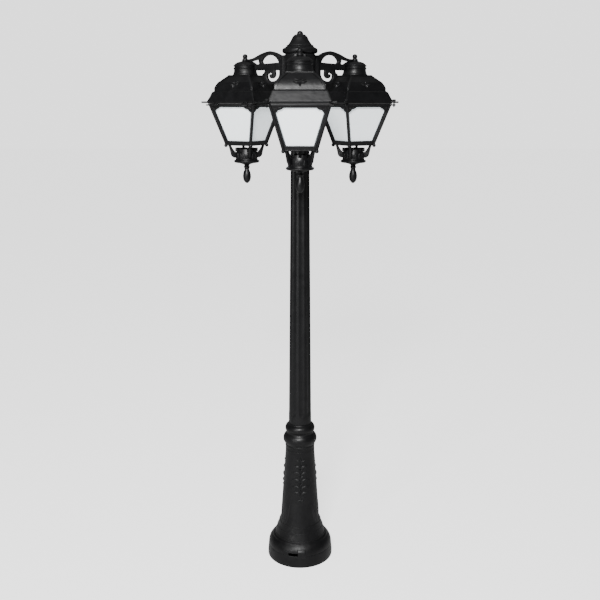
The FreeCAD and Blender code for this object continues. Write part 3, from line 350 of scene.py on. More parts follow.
def grain(tree, shader, *layers):
    """Bump from layers of noise, each a scale and a depth in metres."""
    before = None
    for scale, depth in layers:
        bump = tree.nodes.new("ShaderNodeBump")
        bump.inputs["Distance"].default_value = depth
        bump.inputs["Strength"].default_value = 1.0
        tree.links.new(noise(tree, scale, 2), bump.inputs["Height"])
        if before:
            tree.links.new(before, bump.inputs["Normal"])
        before = bump.outputs["Normal"]
    tree.links.new(before, shader.inputs["Normal"])


def casting_finish(name, dark, light, smooth, rough, *layers):
    """Black cast resin: mottled black, with convex edges painted paler as edge wear and a painted highlight,
    and a sandy grain.
    """
    material, tree, shader = new_material(name)
    mix = tree.nodes.new("ShaderNodeMix")
    mix.data_type = "RGBA"
    mottle, edge_wear_and_highlight_colour, blended = mix.inputs[6], mix.inputs[7], mix.outputs[2]
    # Pointiness paints convex edges paler: partly edge wear, partly a painted highlight.
    edges = tree.nodes.new("ShaderNodeNewGeometry").outputs["Pointiness"]
    ramp(tree, edges, mix.inputs["Factor"], (0.515, 0.0), (0.60, 0.55))
    ramp(tree, noise(tree, 26, 6), mottle, (0.35, dark), (0.68, light))
    edge_wear_and_highlight_colour.default_value = edge_wear_and_highlight_grey
    tree.links.new(blended, shader.inputs["Base Color"])
    ramp(tree, noise(tree, 60, 4), shader.inputs["Roughness"], (0.3, smooth), (0.7, rough))
    shader.inputs["Specular IOR Level"].default_value = 0.25
    grain(tree, shader, *layers)
    return material


def finished(thing, material, slot, body, *stands_for):
    """Give a piece its finish, the body it rides on and the nodes it stands for."""
    thing.data.materials.clear()
    thing.data.materials.append(material)
    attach(thing, body)
    if stands_for:
        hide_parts(*stands_for)


cast_black = casting_finish(
    "cast_black", (0.0022, 0.0022, 0.0026), (0.005, 0.005, 0.0054), 0.36, 0.5, (70, 0.0006),
    (900, 0.00014))
flange_top = reach("foot", "z")[0]
lug_top = reach("ground_flange", "z")[1]
tube_bore = reach("core_tube", "x")[1] + slip
socket_radius = tube_bore + socket_wall
flange_ring = eased(path(
    (15, 0), (flange_radius, 0), (flange_radius, 14), (128, flange_top), (121, flange_top),
    (121, flange_floor), (socket_radius, flange_floor), (socket_radius, socket_top), (tube_bore, socket_top),
    (tube_bore, flange_floor), (15, flange_floor)), 1.6 * mm)
lug = eased(path((118, 40), (130.4, 40), (130, 52), (127.6, 65), (122, lug_top), (118, lug_top)), 1.8 * mm)
lugs = thrice(plate([lug], lug_width, 1.6), lock_turn)
ground_flange = piece("ground_flange_cast", lathe(flange_ring, 144), *lugs)
anchor_hole = lathe(path((0, -10), (anchor_radius, -10), (anchor_radius, 30), (0, 30)), 24)
cut_away(ground_flange, *thrice(moved(anchor_hole, shift(anchor_circle, 0, 0)), lock_turn))
finished(ground_flange, cast_black, "black_resin", "root", "ground_flange")


# Core tube: the steel tube inside the castings that carries the load from the ground flange to the hub.
# It is drawn, hot-dip galvanised and left bare, so it shows zinc spangle.
def dressed(node, material):
    """Give a piece that stays as the CAD made it its finish."""
    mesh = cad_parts[node].data
    mesh.materials.clear()
    mesh.materials.append(material)


galvanised, tube_tree, tube_shader = new_material("galvanised")
tube_shader.inputs["Metallic"].default_value = 1.0
tube_place = tube_tree.nodes.new("ShaderNodeTexCoord")
spangle = tube_tree.nodes.new("ShaderNodeTexVoronoi")
spangle.inputs["Scale"].default_value = 120
spread = tube_tree.nodes.new("ShaderNodeSeparateColor")
tube_tree.links.new(tube_place.outputs["Object"], spangle.inputs["Vector"])
tube_tree.links.new(spangle.outputs["Color"], spread.inputs["Color"])
ramp(tube_tree, spread.outputs["Red"], tube_shader.inputs["Base Color"],
     (0.0, (0.42, 0.44, 0.46)), (1.0, (0.62, 0.64, 0.66)))
ramp(tube_tree, spread.outputs["Green"], tube_shader.inputs["Roughness"], (0.0, 0.34), (1.0, 0.58))
dressed("core_tube", galvanised)

# Foot: the flared and tapered lower casting, in the same resin. It drops over the lugs and a twist locks it.
# Low beads ring its flare and its upper end. A leafy spray stands in relief on the taper over each lug, and
# a lancet leaf between two sprays.
foot_low, foot_top = reach("foot", "z")
sides = (-1, 1)
flare_step = (102.5, 94.5)
taper_low = (77.5, 167)
taper_high = (56.4, 473)
lug_clear = 0.8
leaf_steps = 9
leaf_sink = 0.8
bead_steps = 10
foot_profile = eased(path(
    (127.75, foot_low), (124.6, 67, 112, 85), (110.5, 86.5), (109, 90), flare_step, taper_low, taper_high,
    (58.6, 476), (58.6, foot_top), (50.4, foot_top), (50.4, 473), (71.5, 167), (96, 92), (105, 84),
    (118, 66, 121.75, foot_low)), 1.8 * mm)
spray_pairs = (
    (284, 34, 12, 36, 50), (308, 42, 14, 42, 70), (337, 46, 15, 44, 80), (367, 40, 14, 40, 75),
    (395, 30, 12, 34, 60))


def foot_radius(height):
    """Outside radius of the foot above its flare's step, in millimetres."""
    low, high = (taper_low, taper_high) if height > taper_low[1] else (flare_step, taper_low)
    return low[0] + (high[0] - low[0]) * (height - low[1]) / (high[1] - low[1])


def leaf(length, width, rise, bend=0, vein=0.25):
    """Rings of a small carved leaf in millimetres, along +Y from the origin, its back a little sunk."""
    rings = []
    x = y = 0.0
    for k in range(leaf_steps + 1):
        share = k / leaf_steps
        heading = math.radians(bend) * share
        half = width / 2 * math.sin(math.pi * min(1, share * 0.94 + 0.06) ** 0.8)
        top = rise * math.sin(math.pi * min(1, share * 0.9 + 0.1)) ** 0.6
        if k in (0, leaf_steps):
            half = width * 0.04
            top = rise * 0.1
        edge = [(across, top * (1 - across * across) ** 0.5 * (1 - vein * (across == 0)))
                for across in (-1, -0.7, -0.35, 0, 0.35, 0.7, 1)]
        edge += [(across, -leaf_sink) for across in (0.5, 0, -0.5)]
        rings.append([(x + across * half * math.cos(heading), y - across * half * math.sin(heading), height)
                      for across, height in edge])
        x += length / leaf_steps * math.sin(heading)
        y += length / leaf_steps * math.cos(heading)
    return rings


def laid(rings, x, y, angle, surface):
    """A leaf turned and set down at x, y on a surface; the ends are closed by poles."""
    cosine = math.cos(math.radians(angle))
    sine = math.sin(math.radians(angle))
    placed = []
    for ring in rings:
        placed.append([surface(x + u * cosine + v * sine, y - u * sine + v * cosine, w) for u, v, w in ring])
    ends = [[sum(ring, Vector()) / len(ring)] for ring in (placed[0], placed[-1])]
    return skin([ends[0]] + placed + [ends[1]])


def wrapped(across, height, radius):
    """A point on a round wall, so far across from azimuth zero, in metres from millimetres."""
    return Vector((radius * math.cos(across / radius), radius * math.sin(across / radius), height)) * mm


def on_foot(across, height, out):
    """A point of relief on the foot."""
    return wrapped(across, height, foot_radius(height) + out)


def spray():
    """The leafy spray: a stem with paired leaves that curl outwards, a tulip above and a bud below."""
    shells = [laid(leaf(168, 3.4, 2.2), 0, 272, 0, on_foot)]
    for height, length, width, lean, curve in spray_pairs:
        for side in sides:
            shells.append(laid(leaf(length, width, 4.6, curve * side), 0, height, lean * side, on_foot))
            inner = leaf(length * 0.6, width * 0.6, 3.8, -curve * side)
            shells.append(laid(inner, 0, height + 8, 12 * side, on_foot))
    for lean in (-34, 0, 34):
        shells.append(laid(leaf(24, 9, 3.4, lean * 0.8), 0, 418, lean, on_foot))
    shells.append(laid(leaf(20, 12, 3.6), 0, 256, 0, on_foot))
    for side in sides:
        shells.append(laid(leaf(14, 7, 2.6, 40 * side), 0, 262, 70 * side, on_foot))
    return shells


def lancet():
    """A tall leaf that runs from the flare up the taper, between two thin ones."""
    shells = [laid(leaf(118, 25, 2.4, 0, 0.45), 0, 150, 0, on_foot)]
    for side in sides:
        shells.append(laid(leaf(92, 12, 2.0, 6 * side), 13 * side, 150, 9 * side, on_foot))
    return shells


def bead(radius, height, size):
    """A thin raised ring."""
    rounds = [math.tau * k / bead_steps for k in range(bead_steps)]
    section = [Vector((radius + size * math.cos(a), height + size * math.sin(a))) * mm for a in rounds]
    return lathe(section, 144)


def new_tree(name, *inputs):
    """An empty geometry tree with named inputs, the sockets they give and the socket it ends in."""
    tree = bpy.data.node_groups.new(name, "GeometryNodeTree")
    tree.interface.new_socket("Geometry", in_out="INPUT", socket_type="NodeSocketGeometry")
    for label, kind in inputs:
        tree.interface.new_socket(label, in_out="INPUT", socket_type=kind)
    tree.interface.new_socket("Geometry", in_out="OUTPUT", socket_type="NodeSocketGeometry")
    given = tree.nodes.new("NodeGroupInput").outputs
    return tree, given, tree.nodes.new("NodeGroupOutput").inputs["Geometry"]


def linked(tree, kind, operation=None, **inputs):
    """A node of the tree; each input, by its number or name, is a value or another node's socket."""
    node = tree.nodes.new(kind)
    if operation:
        node.operation = operation
    for label, value in inputs.items():
        socket = node.inputs[int(label[1:])] if label[1:].isdigit() else node.inputs[label.replace("_", " ")]
        if isinstance(value, bpy.types.NodeSocket):
            tree.links.new(value, socket)
        else:
            socket.default_value = value
    return node


def grown(thing, tree, **values):
    """Run a tree on a piece and keep what comes out as its plain mesh."""
    modifier = thing.modifiers.new(tree.name, "NODES")
    modifier.node_group = tree
    for item in tree.interface.items_tree:
        if item.in_out == "INPUT" and item.name.replace(" ", "_") in values:
            modifier[item.identifier] = values[item.name.replace(" ", "_")]
    mesh = baked(thing)
    thing.modifiers.clear()
    thing.data = mesh


ring_of_copies, ring_in, ring_out = new_tree(
    "ring_of_copies", ("Copies", "NodeSocketInt"), ("Finish", "NodeSocketMaterial"))
ring_one = linked(ring_of_copies, "GeometryNodeGeometryToInstance", Geometry=ring_in["Geometry"])
ring_many = linked(
    ring_of_copies, "GeometryNodeDuplicateElements", Geometry=ring_one.outputs["Instances"],
    Amount=ring_in["Copies"])
ring_many.domain = "INSTANCE"
ring_step = linked(ring_of_copies, "ShaderNodeMath", "DIVIDE", i0=math.tau, i1=ring_in["Copies"])
ring_angle = linked(
    ring_of_copies, "ShaderNodeMath", "MULTIPLY", i0=ring_many.outputs["Duplicate Index"],
    i1=ring_step.outputs["Value"])
ring_turn = linked(ring_of_copies, "ShaderNodeCombineXYZ", Z=ring_angle.outputs["Value"])
ring_turned = linked(
    ring_of_copies, "GeometryNodeRotateInstances", Instances=ring_many.outputs["Geometry"],
    Rotation=ring_turn.outputs["Vector"])
ring_turned.inputs["Local Space"].default_value = False
ring_real = linked(ring_of_copies, "GeometryNodeRealizeInstances", Geometry=ring_turned.outputs["Instances"])
ring_set = linked(
    ring_of_copies, "GeometryNodeSetMaterial", Geometry=ring_real.outputs["Geometry"],
    Material=ring_in["Finish"])
ring_of_copies.links.new(ring_set.outputs["Geometry"], ring_out)

foot_beads = [bead(foot_radius(height), height, size)
              for height, size in ((98, 1.7), (125, 1.0), (150, 1.2), (462, 1.0))]
foot = piece("foot_cast", lathe(foot_profile, 144), *foot_beads)
lug_room = plate([path((95, 40), (140, 40), (140, 75), (95, 75))], lug_width + 2 * lug_clear, 0.01)
slot_room = plate([path((95, 39), (139, 39), (139, 60), (95, 60))], 44, 0.01, shift(0, -30, 0))
cut_away(foot, *thrice(lug_room, lock_turn))
cut_away(foot, *thrice(slot_room, lock_turn))
finished(foot, cast_black, "black_resin", "root", "foot")

foot_sprays = piece(
    "foot_sprays", *[moved(shell, turn(lock_turn)) for shell in spray()],
    *[moved(shell, turn(lock_turn + third / 2)) for shell in lancet()])
grown(foot_sprays, ring_of_copies, Copies=3, Finish=cast_black)
finished(foot_sprays, cast_black, "black_resin", "root")

# Collar: the moulding with two round beads between foot and shaft. It is a resin casting that sits in the
# foot's mouth, centred on the core tube, and its neck carries the shaft.
collar_low, collar_top = reach("collar", "z")
collar_profile = eased(path(
    (58.3, foot_top), (60.5, 489), (66.4, 507, 57.2, 527), (54.2, 531), (54.2, 537),
    (58.0, 554, 50.8, 565.5), (47.6, 567.5), (46.4, collar_top), (tube_bore, collar_top), (tube_bore, 560),
    (38.6, 560), (47.2, collar_low), (50.1, collar_low), (50.1, foot_top)), 1.2 * mm)


def cast(name, finish, body, node, *shells):
    """A resin casting that stands for one node."""
    finished(piece(name, *shells), finish, "black_resin", body, node)


cast("collar_cast", cast_black, "root", "collar", lathe(collar_profile, 128))

# Shaft: a long tapered sleeve of the same resin, cast with eight flutes whose ends are round. The flats
# between them keep the full radius. It slides over the core tube and stands on the collar.
shaft_low, shaft_high = reach("shaft", "z")
shaft_foot_radius = reach("shaft", "y")[1]
shaft_head_radius = 32.2
shaft_turn = math.radians(-90 + 8.6)
shaft_crease = 24
rim_ease = 0.8
rim_height = 1.5
flutes = 8.0
flute_depth = 3.2
flute_width_share = 0.6667
flute_low_end = 604
flute_high_end = 1806
flute_end_length = 20
end_steps = 10
end_margin = 2
middle_low = 650
middle_high = 1780
middle_steps = 24

flute_sleeve, flute_in, flute_out = new_tree(
    "flute_sleeve", ("Flutes", "NodeSocketFloat"), ("Turn", "NodeSocketFloat"), ("Depth", "NodeSocketFloat"),
    ("Width share", "NodeSocketFloat"), ("Low end", "NodeSocketFloat"), ("High end", "NodeSocketFloat"),
    ("Round end", "NodeSocketFloat"), ("Finish", "NodeSocketMaterial"))
flute_place = linked(flute_sleeve, "GeometryNodeInputPosition")
flute_parts = linked(flute_sleeve, "ShaderNodeSeparateXYZ", Vector=flute_place.outputs["Position"])


def flute_sum(operation, first, second=0.0):
    """One step of arithmetic in the flutes' tree."""
    return linked(flute_sleeve, "ShaderNodeMath", operation, i0=first, i1=second).outputs["Value"]


flute_azimuth = flute_sum("ARCTAN2", flute_parts.outputs["Y"], flute_parts.outputs["X"])
flute_from = flute_sum("SUBTRACT", flute_azimuth, flute_in["Turn"])
flute_pitch = flute_sum("DIVIDE", flute_sum("MULTIPLY", flute_from, flute_in["Flutes"]), math.tau)
flute_near = flute_sum("ABSOLUTE", flute_sum("SUBTRACT", flute_pitch, flute_sum("ROUND", flute_pitch)))
flute_across = flute_sum("DIVIDE", flute_sum("MULTIPLY", flute_near, 2.0), flute_in["Width share"])
flute_up = flute_sum("SUBTRACT", flute_parts.outputs["Z"], flute_in["Low end"])
flute_down = flute_sum("SUBTRACT", flute_in["High end"], flute_parts.outputs["Z"])
flute_inside = flute_sum("DIVIDE", flute_sum("MINIMUM", flute_up, flute_down), flute_in["Round end"])
flute_short = flute_sum("SUBTRACT", 1.0, flute_sum("MAXIMUM", flute_sum("MINIMUM", flute_inside, 1.0), -9.0))
flute_hollow = flute_sum(
    "SUBTRACT", flute_sum("SUBTRACT", 1.0, flute_sum("MULTIPLY", flute_across, flute_across)),
    flute_sum("MULTIPLY", flute_short, flute_short))
flute_cut = flute_sum("MULTIPLY", flute_sum("MAXIMUM", flute_hollow, 0.0), flute_in["Depth"])
flute_flat = linked(
    flute_sleeve, "ShaderNodeCombineXYZ", X=flute_parts.outputs["X"], Y=flute_parts.outputs["Y"])
flute_outwards = linked(flute_sleeve, "ShaderNodeVectorMath", "NORMALIZE", i0=flute_flat.outputs["Vector"])
flute_push = linked(
    flute_sleeve, "ShaderNodeVectorMath", "SCALE", i0=flute_outwards.outputs["Vector"],
    Scale=flute_sum("MULTIPLY", flute_cut, -1.0))
flute_set = linked(
    flute_sleeve, "GeometryNodeSetPosition", Geometry=flute_in["Geometry"],
    Offset=flute_push.outputs["Vector"])
flute_real = linked(flute_sleeve, "GeometryNodeRealizeInstances", Geometry=flute_set.outputs["Geometry"])
flute_paint = linked(
    flute_sleeve, "GeometryNodeSetMaterial", Geometry=flute_real.outputs["Geometry"],
    Material=flute_in["Finish"])
flute_sleeve.links.new(flute_paint.outputs["Geometry"], flute_out)


def shaft_wall_point(height):
    """A point of the shaft's outside between its flutes, drawn in a little at both rims."""
    share = (height - shaft_low) / (shaft_high - shaft_low)
    radius = shaft_foot_radius + (shaft_head_radius - shaft_foot_radius) * share
    return Vector((radius - (rim_ease if height in (shaft_low, shaft_high) else 0), height)) * mm


shaft_levels = [shaft_low, shaft_low + rim_height]
shaft_levels += [flute_low_end - end_margin + flute_end_length * k / end_steps for k in range(end_steps + 2)]
shaft_levels += [middle_low + (middle_high - middle_low) * k / middle_steps for k in range(middle_steps + 1)]
shaft_levels += [
    flute_high_end + end_margin - flute_end_length * k / end_steps for k in range(end_steps + 1, -1, -1)]
shaft_levels += [shaft_high - rim_height, shaft_high]
shaft_wall = [shaft_wall_point(height) for height in shaft_levels]
shaft_wall += path((27.2, shaft_high), (38.6, shaft_low))
shaft = piece("shaft_cast", lathe(shaft_wall, 192))
grown(
    shaft, flute_sleeve, Flutes=flutes, Turn=shaft_turn, Depth=flute_depth * mm,
    Width_share=flute_width_share, Low_end=flute_low_end * mm, High_end=flute_high_end * mm,
    Round_end=flute_end_length * mm, Finish=cast_black)
shaft.data.set_sharp_from_angle(angle=math.radians(shaft_crease))
finished(shaft, cast_black, "black_resin", "root", "shaft")

# Hub: the head on the shaft and the core tube, cast in resin with three flat bosses that the arms are
# screwed to. A bead rings its barrel at either end, and its top is the wiring box.
hub_low, hub_top = reach("hub", "z")
boss_face = -reach("hub", "y")[0]
bar_mid = 1931
hub_profile = eased(path(
    (32.7, hub_low), (40, hub_low), (42, 1864, 53, 1876), (53, hub_top), (50, hub_top), (50, 1956),
    (44, 1956), (44, 1874), (tube_bore, 1874), (tube_bore, shaft_high), (32.7, shaft_high)), 1.5 * mm)
boss = eased(path((44, 1871), (boss_face, 1871), (boss_face, 1970), (44, 1970)), 2 * mm)
cast("hub_cast", cast_black, "root", "hub", lathe(hub_profile, 128), bead(52.4, 1880, 1.8),
     bead(52.2, 1969, 2.4), *thrice(plate([boss], 44, 1.6), -90))


# Wiring box fittings: a terminal plate and the stud that holds the bell cap down, both of zinc-plated steel,
# and a moulded terminal block on the plate, all inside the hub.
def metal(name, colour, rough_low, rough_high, scale, stretch):
    """Bare metal whose roughness is streaked; stretch squeezes the streaks along Z."""
    material, tree, shader = new_material(name)
    shader.inputs["Metallic"].default_value = 1.0
    place = tree.nodes.new("ShaderNodeTexCoord")
    mapping = tree.nodes.new("ShaderNodeMapping")
    mapping.inputs["Scale"].default_value = (1, 1, stretch)
    tree.links.new(place.outputs["Object"], mapping.inputs["Vector"])
    streaks = tree.nodes.new("ShaderNodeTexNoise")
    streaks.inputs["Scale"].default_value = scale
    streaks.inputs["Detail"].default_value = 4
    tree.links.new(mapping.outputs["Vector"], streaks.inputs["Vector"])
    dark = tuple(part * 0.8 for part in colour)
    ramp(tree, streaks.outputs["Fac"], shader.inputs["Base Color"], (0.3, dark), (0.7, colour))
    ramp(tree, streaks.outputs["Fac"], shader.inputs["Roughness"], (0.3, rough_low), (0.7, rough_high))
    return material


def moulded(name, low, high, rough, depth):
    """A plain moulding: clouded colour and a fine even bump."""
    material, tree, shader = new_material(name)
    cloud = noise(tree, 40, 4)
    ramp(tree, cloud, shader.inputs["Base Color"], (0.3, low), (0.7, high))
    ramp(tree, cloud, shader.inputs["Roughness"], (0.3, rough), (0.7, rough + 0.12))
    grain(tree, shader, (500, depth))
    return material


zinc = metal("zinc_plate", (0.6, 0.6, 0.57), 0.3, 0.5, 60, 1.0)
terminal_moulding = moulded("terminal_moulding", (0.74, 0.72, 0.66), (0.82, 0.8, 0.75), 0.35, 0.00008)
dressed("hub_stud", zinc)
dressed("terminal_plate", zinc)
dressed("terminal_block", terminal_moulding)

# Bell cap: a pear-shaped cast cover with eight soft lobes over the hub, and two beads round its skirt. The
# turned button on its top screws it down on the stud.
lobe_count = 8
lobe_least_radius = 0.012
lobe_low = 1.9965
lobe_high = 2.0395
lobe_low_fade = 0.008
lobe_high_fade = 0.006
lobe_swell = 0.026
lobe_mean = 0.6
bell_profile = eased(path(
    (50.2, hub_top), (53.8, 1974.8), (61.2, 1977.6, 63.2, 1984.2), (61.2, 1990.8, 54.8, 1993.8),
    (52.4, 1993.8), (51.4, 1994.6), (50.6, 1997), (39, 2009.6, 30.9, 2022), (27.7, 2029, 22.3, 2035.6),
    (17.6, 2038.8, 11, 2040), (4.25, 2040), (4.25, 2033), (17, 2033), (34.9, 2005.4, 52, 1987)), 0.9 * mm)
button_profile = eased(path(
    (0, 2046.3), (4, 2046.3), (4, 2040), (11.2, 2040), (11.2, 2041.2), (8.6, 2048.4, 0, 2051.9)),
    0.6 * mm, closed=False)


def bell_lobes(angle, radius, height):
    """The lobes on the bell's slope, faded out at both ends."""
    if radius < lobe_least_radius or height < lobe_low or height > lobe_high:
        return radius, height
    swell = abs(math.cos(lobe_count / 2 * angle + math.pi / 2))
    fade = min(1, (height - lobe_low) / lobe_low_fade, (lobe_high - height) / lobe_high_fade)
    return radius * (1 + fade * lobe_swell * (swell - lobe_mean)), height


cast("bell_cap_cast", cast_black, "root", "hub_cap", lathe(bell_profile, 128, bell_lobes),
     bead(46.6, 2001.6, 1.6), bead(51.4, 1995.8, 1.2))
cast("bell_button", cast_black, "root", "hub_finial", lathe(button_profile, 48))

# Arms: flat scrolled brackets, cast in resin with rounded edges. An arch and a falling S line stand over the
# bar and a curled scroll hangs below it. A plate screws to the hub's boss, and the end is an eye over the
# lantern's cap.
arm_reach = -sum(reach("front_tie_rod", "y")) / 2
arm_root = boss_face
arm_face = 69
arm_low = -60
arm_high = 39
bar_half = 11
rod_bore = reach("front_tie_rod", "x")[1] + slip
eye_low = 23.8
eye_high = 29.8
arm_outline = eased(path(
    (arm_root, arm_low), (arm_root, arm_high), (66, arm_high), (arm_face, 34.5), (102.6, 51.5, 125, 56),
    (155.8, 49.6, 181, 39.5), (203.7, 31.3, 223, eye_high), (227.8, eye_high), (227.8, eye_low),
    (223, eye_low), (202.2, 18, 190.2, 11.5), (190.2, -bar_half), (145, -bar_half), (151.8, -24),
    (142.3, -53.7, 113.2, -61.4), (89.3, -58.8), (arm_face, arm_low)), 2.6 * mm)
arch_hole = eased(path(
    (86.5, 15), (101, 34.5, 124, 41.5), (146.8, 35.4, 158.3, 21.4), (154.7, 14, 146.8, 12)), 1.6 * mm)
gusset_hole = eased(path(
    (170, bar_half), (173.7, 28), (189.5, 24.3, 209, 20.5), (190.2, bar_half)), 2 * mm)
scroll_hole = eased(path(
    (84, -12.1), (84, -24), (93, -43, 113.2, -50.5), (132.2, -44.2, 137, -31.1), (133, -20.1, 124, -14.6),
    (117.9, -12.1)), 2 * mm)
curl = eased(path(
    (104, -9), (102.2, -25), (105.8, -35.6, 115, -40.4), (123.4, -37.6, 126.8, -31.4),
    (125.8, -27, 121.8, -25.2), (117.4, -25.8), (116.6, -22.4), (124.8, -18.8), (133.4, -25), (138.6, -25),
    (138.6, -9)), 1.3 * mm)
curl_eye = path((122.4, -32.4), (118.4, -28.4, 114.4, -32.4), (118.4, -36.4, 122.4, -32.4))[:-1]
bud = eased(path((146, -23), (148, -39), (157, -37.6, 159.6, -31), (157.4, -24.6, 151, -21)), 2.2 * mm)
hub_plate = eased(path(
    (arm_root, arm_low), (arm_face, arm_low), (arm_face, arm_high), (arm_root, arm_high)), 1.6 * mm)
arm_eye = eased(path((rod_bore, eye_low), (12, eye_low), (12, eye_high), (rod_bore, eye_high)), 1 * mm)
arm_shells = [
    plate([arm_outline, arch_hole, gusset_hole, scroll_hole], 14, 2.0),
    plate([curl], 12.4, 1.2),
    plate([curl_eye], 15.4, 1.4),
    plate([bud], 9, 1.8),
    plate([hub_plate], 40, 1.4),
    moved(lathe(arm_eye, 48), shift(arm_reach, 0, 0))]
side_azimuths = {"front": -90, "right": 30, "left": 150}
for side, azimuth in side_azimuths.items():
    in_place = [moved(shell, shift(0, 0, bar_mid), turn(azimuth)) for shell in arm_shells]
    cast(f"{side}_arm_cast", cast_black, "root", f"{side}_arm", *in_place)

# Arm screws: socket heads with a washer, turned from stainless bar and blackened. Four hold each arm's plate
# to its boss, so there are twelve round the hub.
blackened = metal("blackened_steel", (0.03, 0.03, 0.031), 0.4, 0.56, 160, 0.2)
screw_across = 14
screw_heights = (27, -48)
socket_screw = eased(path(
    (0, 70.6), (1.9, 70.6), (1.9, 72.6), (3.9, 72.9), (4.5, 71.8), (4.5, 69.3), (2.4, 69.3), (2.4, 47),
    (0, 47)), 0.3 * mm, closed=False)
hub_screws = []
for side in sides:
    for height in screw_heights:
        down = (turn(90, "Y"), shift(0, screw_across * side, bar_mid + height), turn(side_azimuths["front"]))
        hub_screws.append(moved(lathe(socket_screw, 24), *down))
arm_screws = piece("arm_screw_set", *hub_screws)
grown(arm_screws, ring_of_copies, Copies=3, Finish=blackened)
finished(arm_screws, blackened, "stainless_steel", "root", "arm_screws")

# Lantern cap: the round chimney that is cast with two beads and a low dome, and sits on each roof. The ball
# nut on the arm's eye draws cap and roof up with the tie rod, a zinc-plated steel tube.
platform = reach("front_cap", "z")[0]
cap_profile = eased(path(
    (43.5, 0), (47, 0), (46.6, 2.6), (45, 4.4), (42.9, 10.4, 42, 20.4), (42, 21.6), (42.6, 22),
    (44.2, 23.9, 42.4, 26), (41.4, 26.6), (41.2, 30.8), (42, 31.4), (44.2, 33.8, 42.2, 36), (41.4, 36.6),
    (34.6, 42.9, 22, 47.4), (12, 50.5), (rod_bore, 50.5), (rod_bore, 47), (12, 47), (30, 41, 37.4, 35),
    (37.4, 8)), 0.8 * mm)
nut_profile = eased(path(
    (0, 66), (5, 66), (5, 56.8), (9.2, 56.8), (9.2, 58.6), (7.6, 60.6), (8.2, 62), (9.4, 66.1, 0, 75.5)),
    0.5 * mm, closed=False)
cap_shell = lathe(cap_profile, 112)
nut_shell = lathe(nut_profile, 48)
lantern_hang = shift(arm_reach, 0, platform) @ turn(90)
lantern_places = {side: turn(azimuth) @ lantern_hang for side, azimuth in side_azimuths.items()}
for side, place in lantern_places.items():
    cast(f"{side}_cap_cast", cast_black, "root", f"{side}_cap", moved(cap_shell, place))
    cast(f"{side}_ball_nut_cast", cast_black, "root", f"{side}_ball_nut", moved(nut_shell, place))
    dressed(f"{side}_tie_rod", zinc)

# Roof: a square vaulted casting in a smoother black resin, with a thin rib on each hip, a stepped eave, ears
# at its corners and a leaf spray in relief on each face. The hinge knuckles hang under one eave.
cast_satin = casting_finish(
    "cast_satin", (0.0022, 0.0022, 0.0026), (0.0045, 0.0045, 0.005), 0.33, 0.44, (45, 0.0007),
    (1100, 0.00009))
roof_height = 101
eave_half = 104.3
rib_half_width = 4.8
rib_rise = 2.8
rib_low = -0.058
rib_high = -0.004
outside_share = 0.45
across_steps = 14
square_corners = (45, -45, 135, -135)
ear_root = 128
hinge_out = 107.5
hinge_down = 106.5
hinge_along = 65
pin_bore = 1.68
knuckle_radius = 4
roof_knuckle_shift = 9.25
roof_swell = path((47, -3), (68.5, -22.5, 84.4, -58))
roof_out = path((45, 0), (47.2, -1, 48, -4.2), (47.4, -5)) + roof_swell[3:]
roof_out += path((90.4, -62), (96.9, -78.9, eave_half, -94.5), (eave_half, -roof_height))
roof_in = path((92, -roof_height), (92, -88), (80.4, -60), (65.7, -25.3, 43, -4))
roof_loop = eased(roof_out + roof_in, 1.4 * mm)


def square_ring(half, height, rise):
    """One level of a square vault in metres, with a rib that rises on each corner."""
    ring = []
    width = min(rib_half_width * mm * math.sqrt(2), half * 0.4)
    out = half + rise
    ease = 1.2 * mm if half > 4 * mm else half * 0.2
    plain = half - width - rise * 0.6
    for quarter in range(4):
        edge = [(out - ease, -out), (out - ease * 0.3, -out + ease * 0.3), (out, -out + ease),
                (out, -half + width), (half, -half + width + rise * 0.6)]
        edge += [(half, -plain + 2 * plain * k / across_steps) for k in range(1, across_steps)]
        edge += [(half, plain), (out, half - width)]
        ring += [turn(90 * quarter) @ Vector((x, y, height)) for x, y in edge]
    return ring


def roof_half(height):
    """Half width of the vault at a height below the platform, in millimetres."""
    for upper, lower in zip(roof_swell, roof_swell[1:]):
        if lower.y <= height * mm <= upper.y:
            share = (upper.y - height * mm) / (upper.y - lower.y)
            return (upper.x + (lower.x - upper.x) * share) / mm
    return (roof_swell[0] if height > -3 else roof_swell[-1]).x / mm


def on_roof(across, down, out):
    """A point of relief on the roof's face towards -Y; down is below the platform."""
    slope = (roof_half(-down - 1.5) - roof_half(-down + 1.5)) / 3
    lean = math.sqrt(1 + slope * slope)
    return Vector((across, -(roof_half(-down) + out / lean), -down + out * slope / lean)) * mm


def roof_spray():
    """A tulip between two pairs of curled leaves."""
    shells = []

    def add(length, width, rise, bend, x, y, angle):
        rings = [[(u, -v, w) for u, v, w in ring] for ring in leaf(length, width, rise, bend)]
        shells.append(laid(rings, x, y, angle, on_roof))

    add(12, 7, 3.2, 0, 0, 33, 0)
    add(17, 10.5, 5, 0, 0, 33, 180)
    for side in sides:
        add(18, 6.5, 4.2, 26 * side, 4 * side, 31, -66 * side)
        add(20, 8, 5, -20 * side, 4 * side, 37, -86 * side)
    return shells


def ear(neck, tip, half, low, high, corner):
    """A flat spear-shaped ear that points out of a square's corner, between two heights."""
    plan = eased(path(
        (ear_root, -half), (neck, -half), (tip - 9, -half * 0.52), (tip, 0), (tip - 9, half * 0.52),
        (neck, half), (ear_root, half)), 1.6 * mm)
    return plate([plan], high - low, 1.0, turn(-90, "X"), shift(0, 0, (low + high) / 2), turn(corner))


def knuckle(middle, length, web_in, web_low, web_high):
    """A hinge knuckle along Y with the web that carries it."""
    half = length / 2
    web_out = hinge_out + 1
    rounds = eased(path(
        (pin_bore, -half), (knuckle_radius, -half), (knuckle_radius, half), (pin_bore, half)), 0.5 * mm)
    web = eased(path(
        (web_in, web_low), (web_out, web_low), (web_out, web_high), (web_in, web_high)), 0.5 * mm)
    return [
        moved(lathe(rounds, 24), turn(90, "X"), shift(hinge_out, middle, -hinge_down)),
        plate([web], length, 0.4, shift(0, middle, 0))]


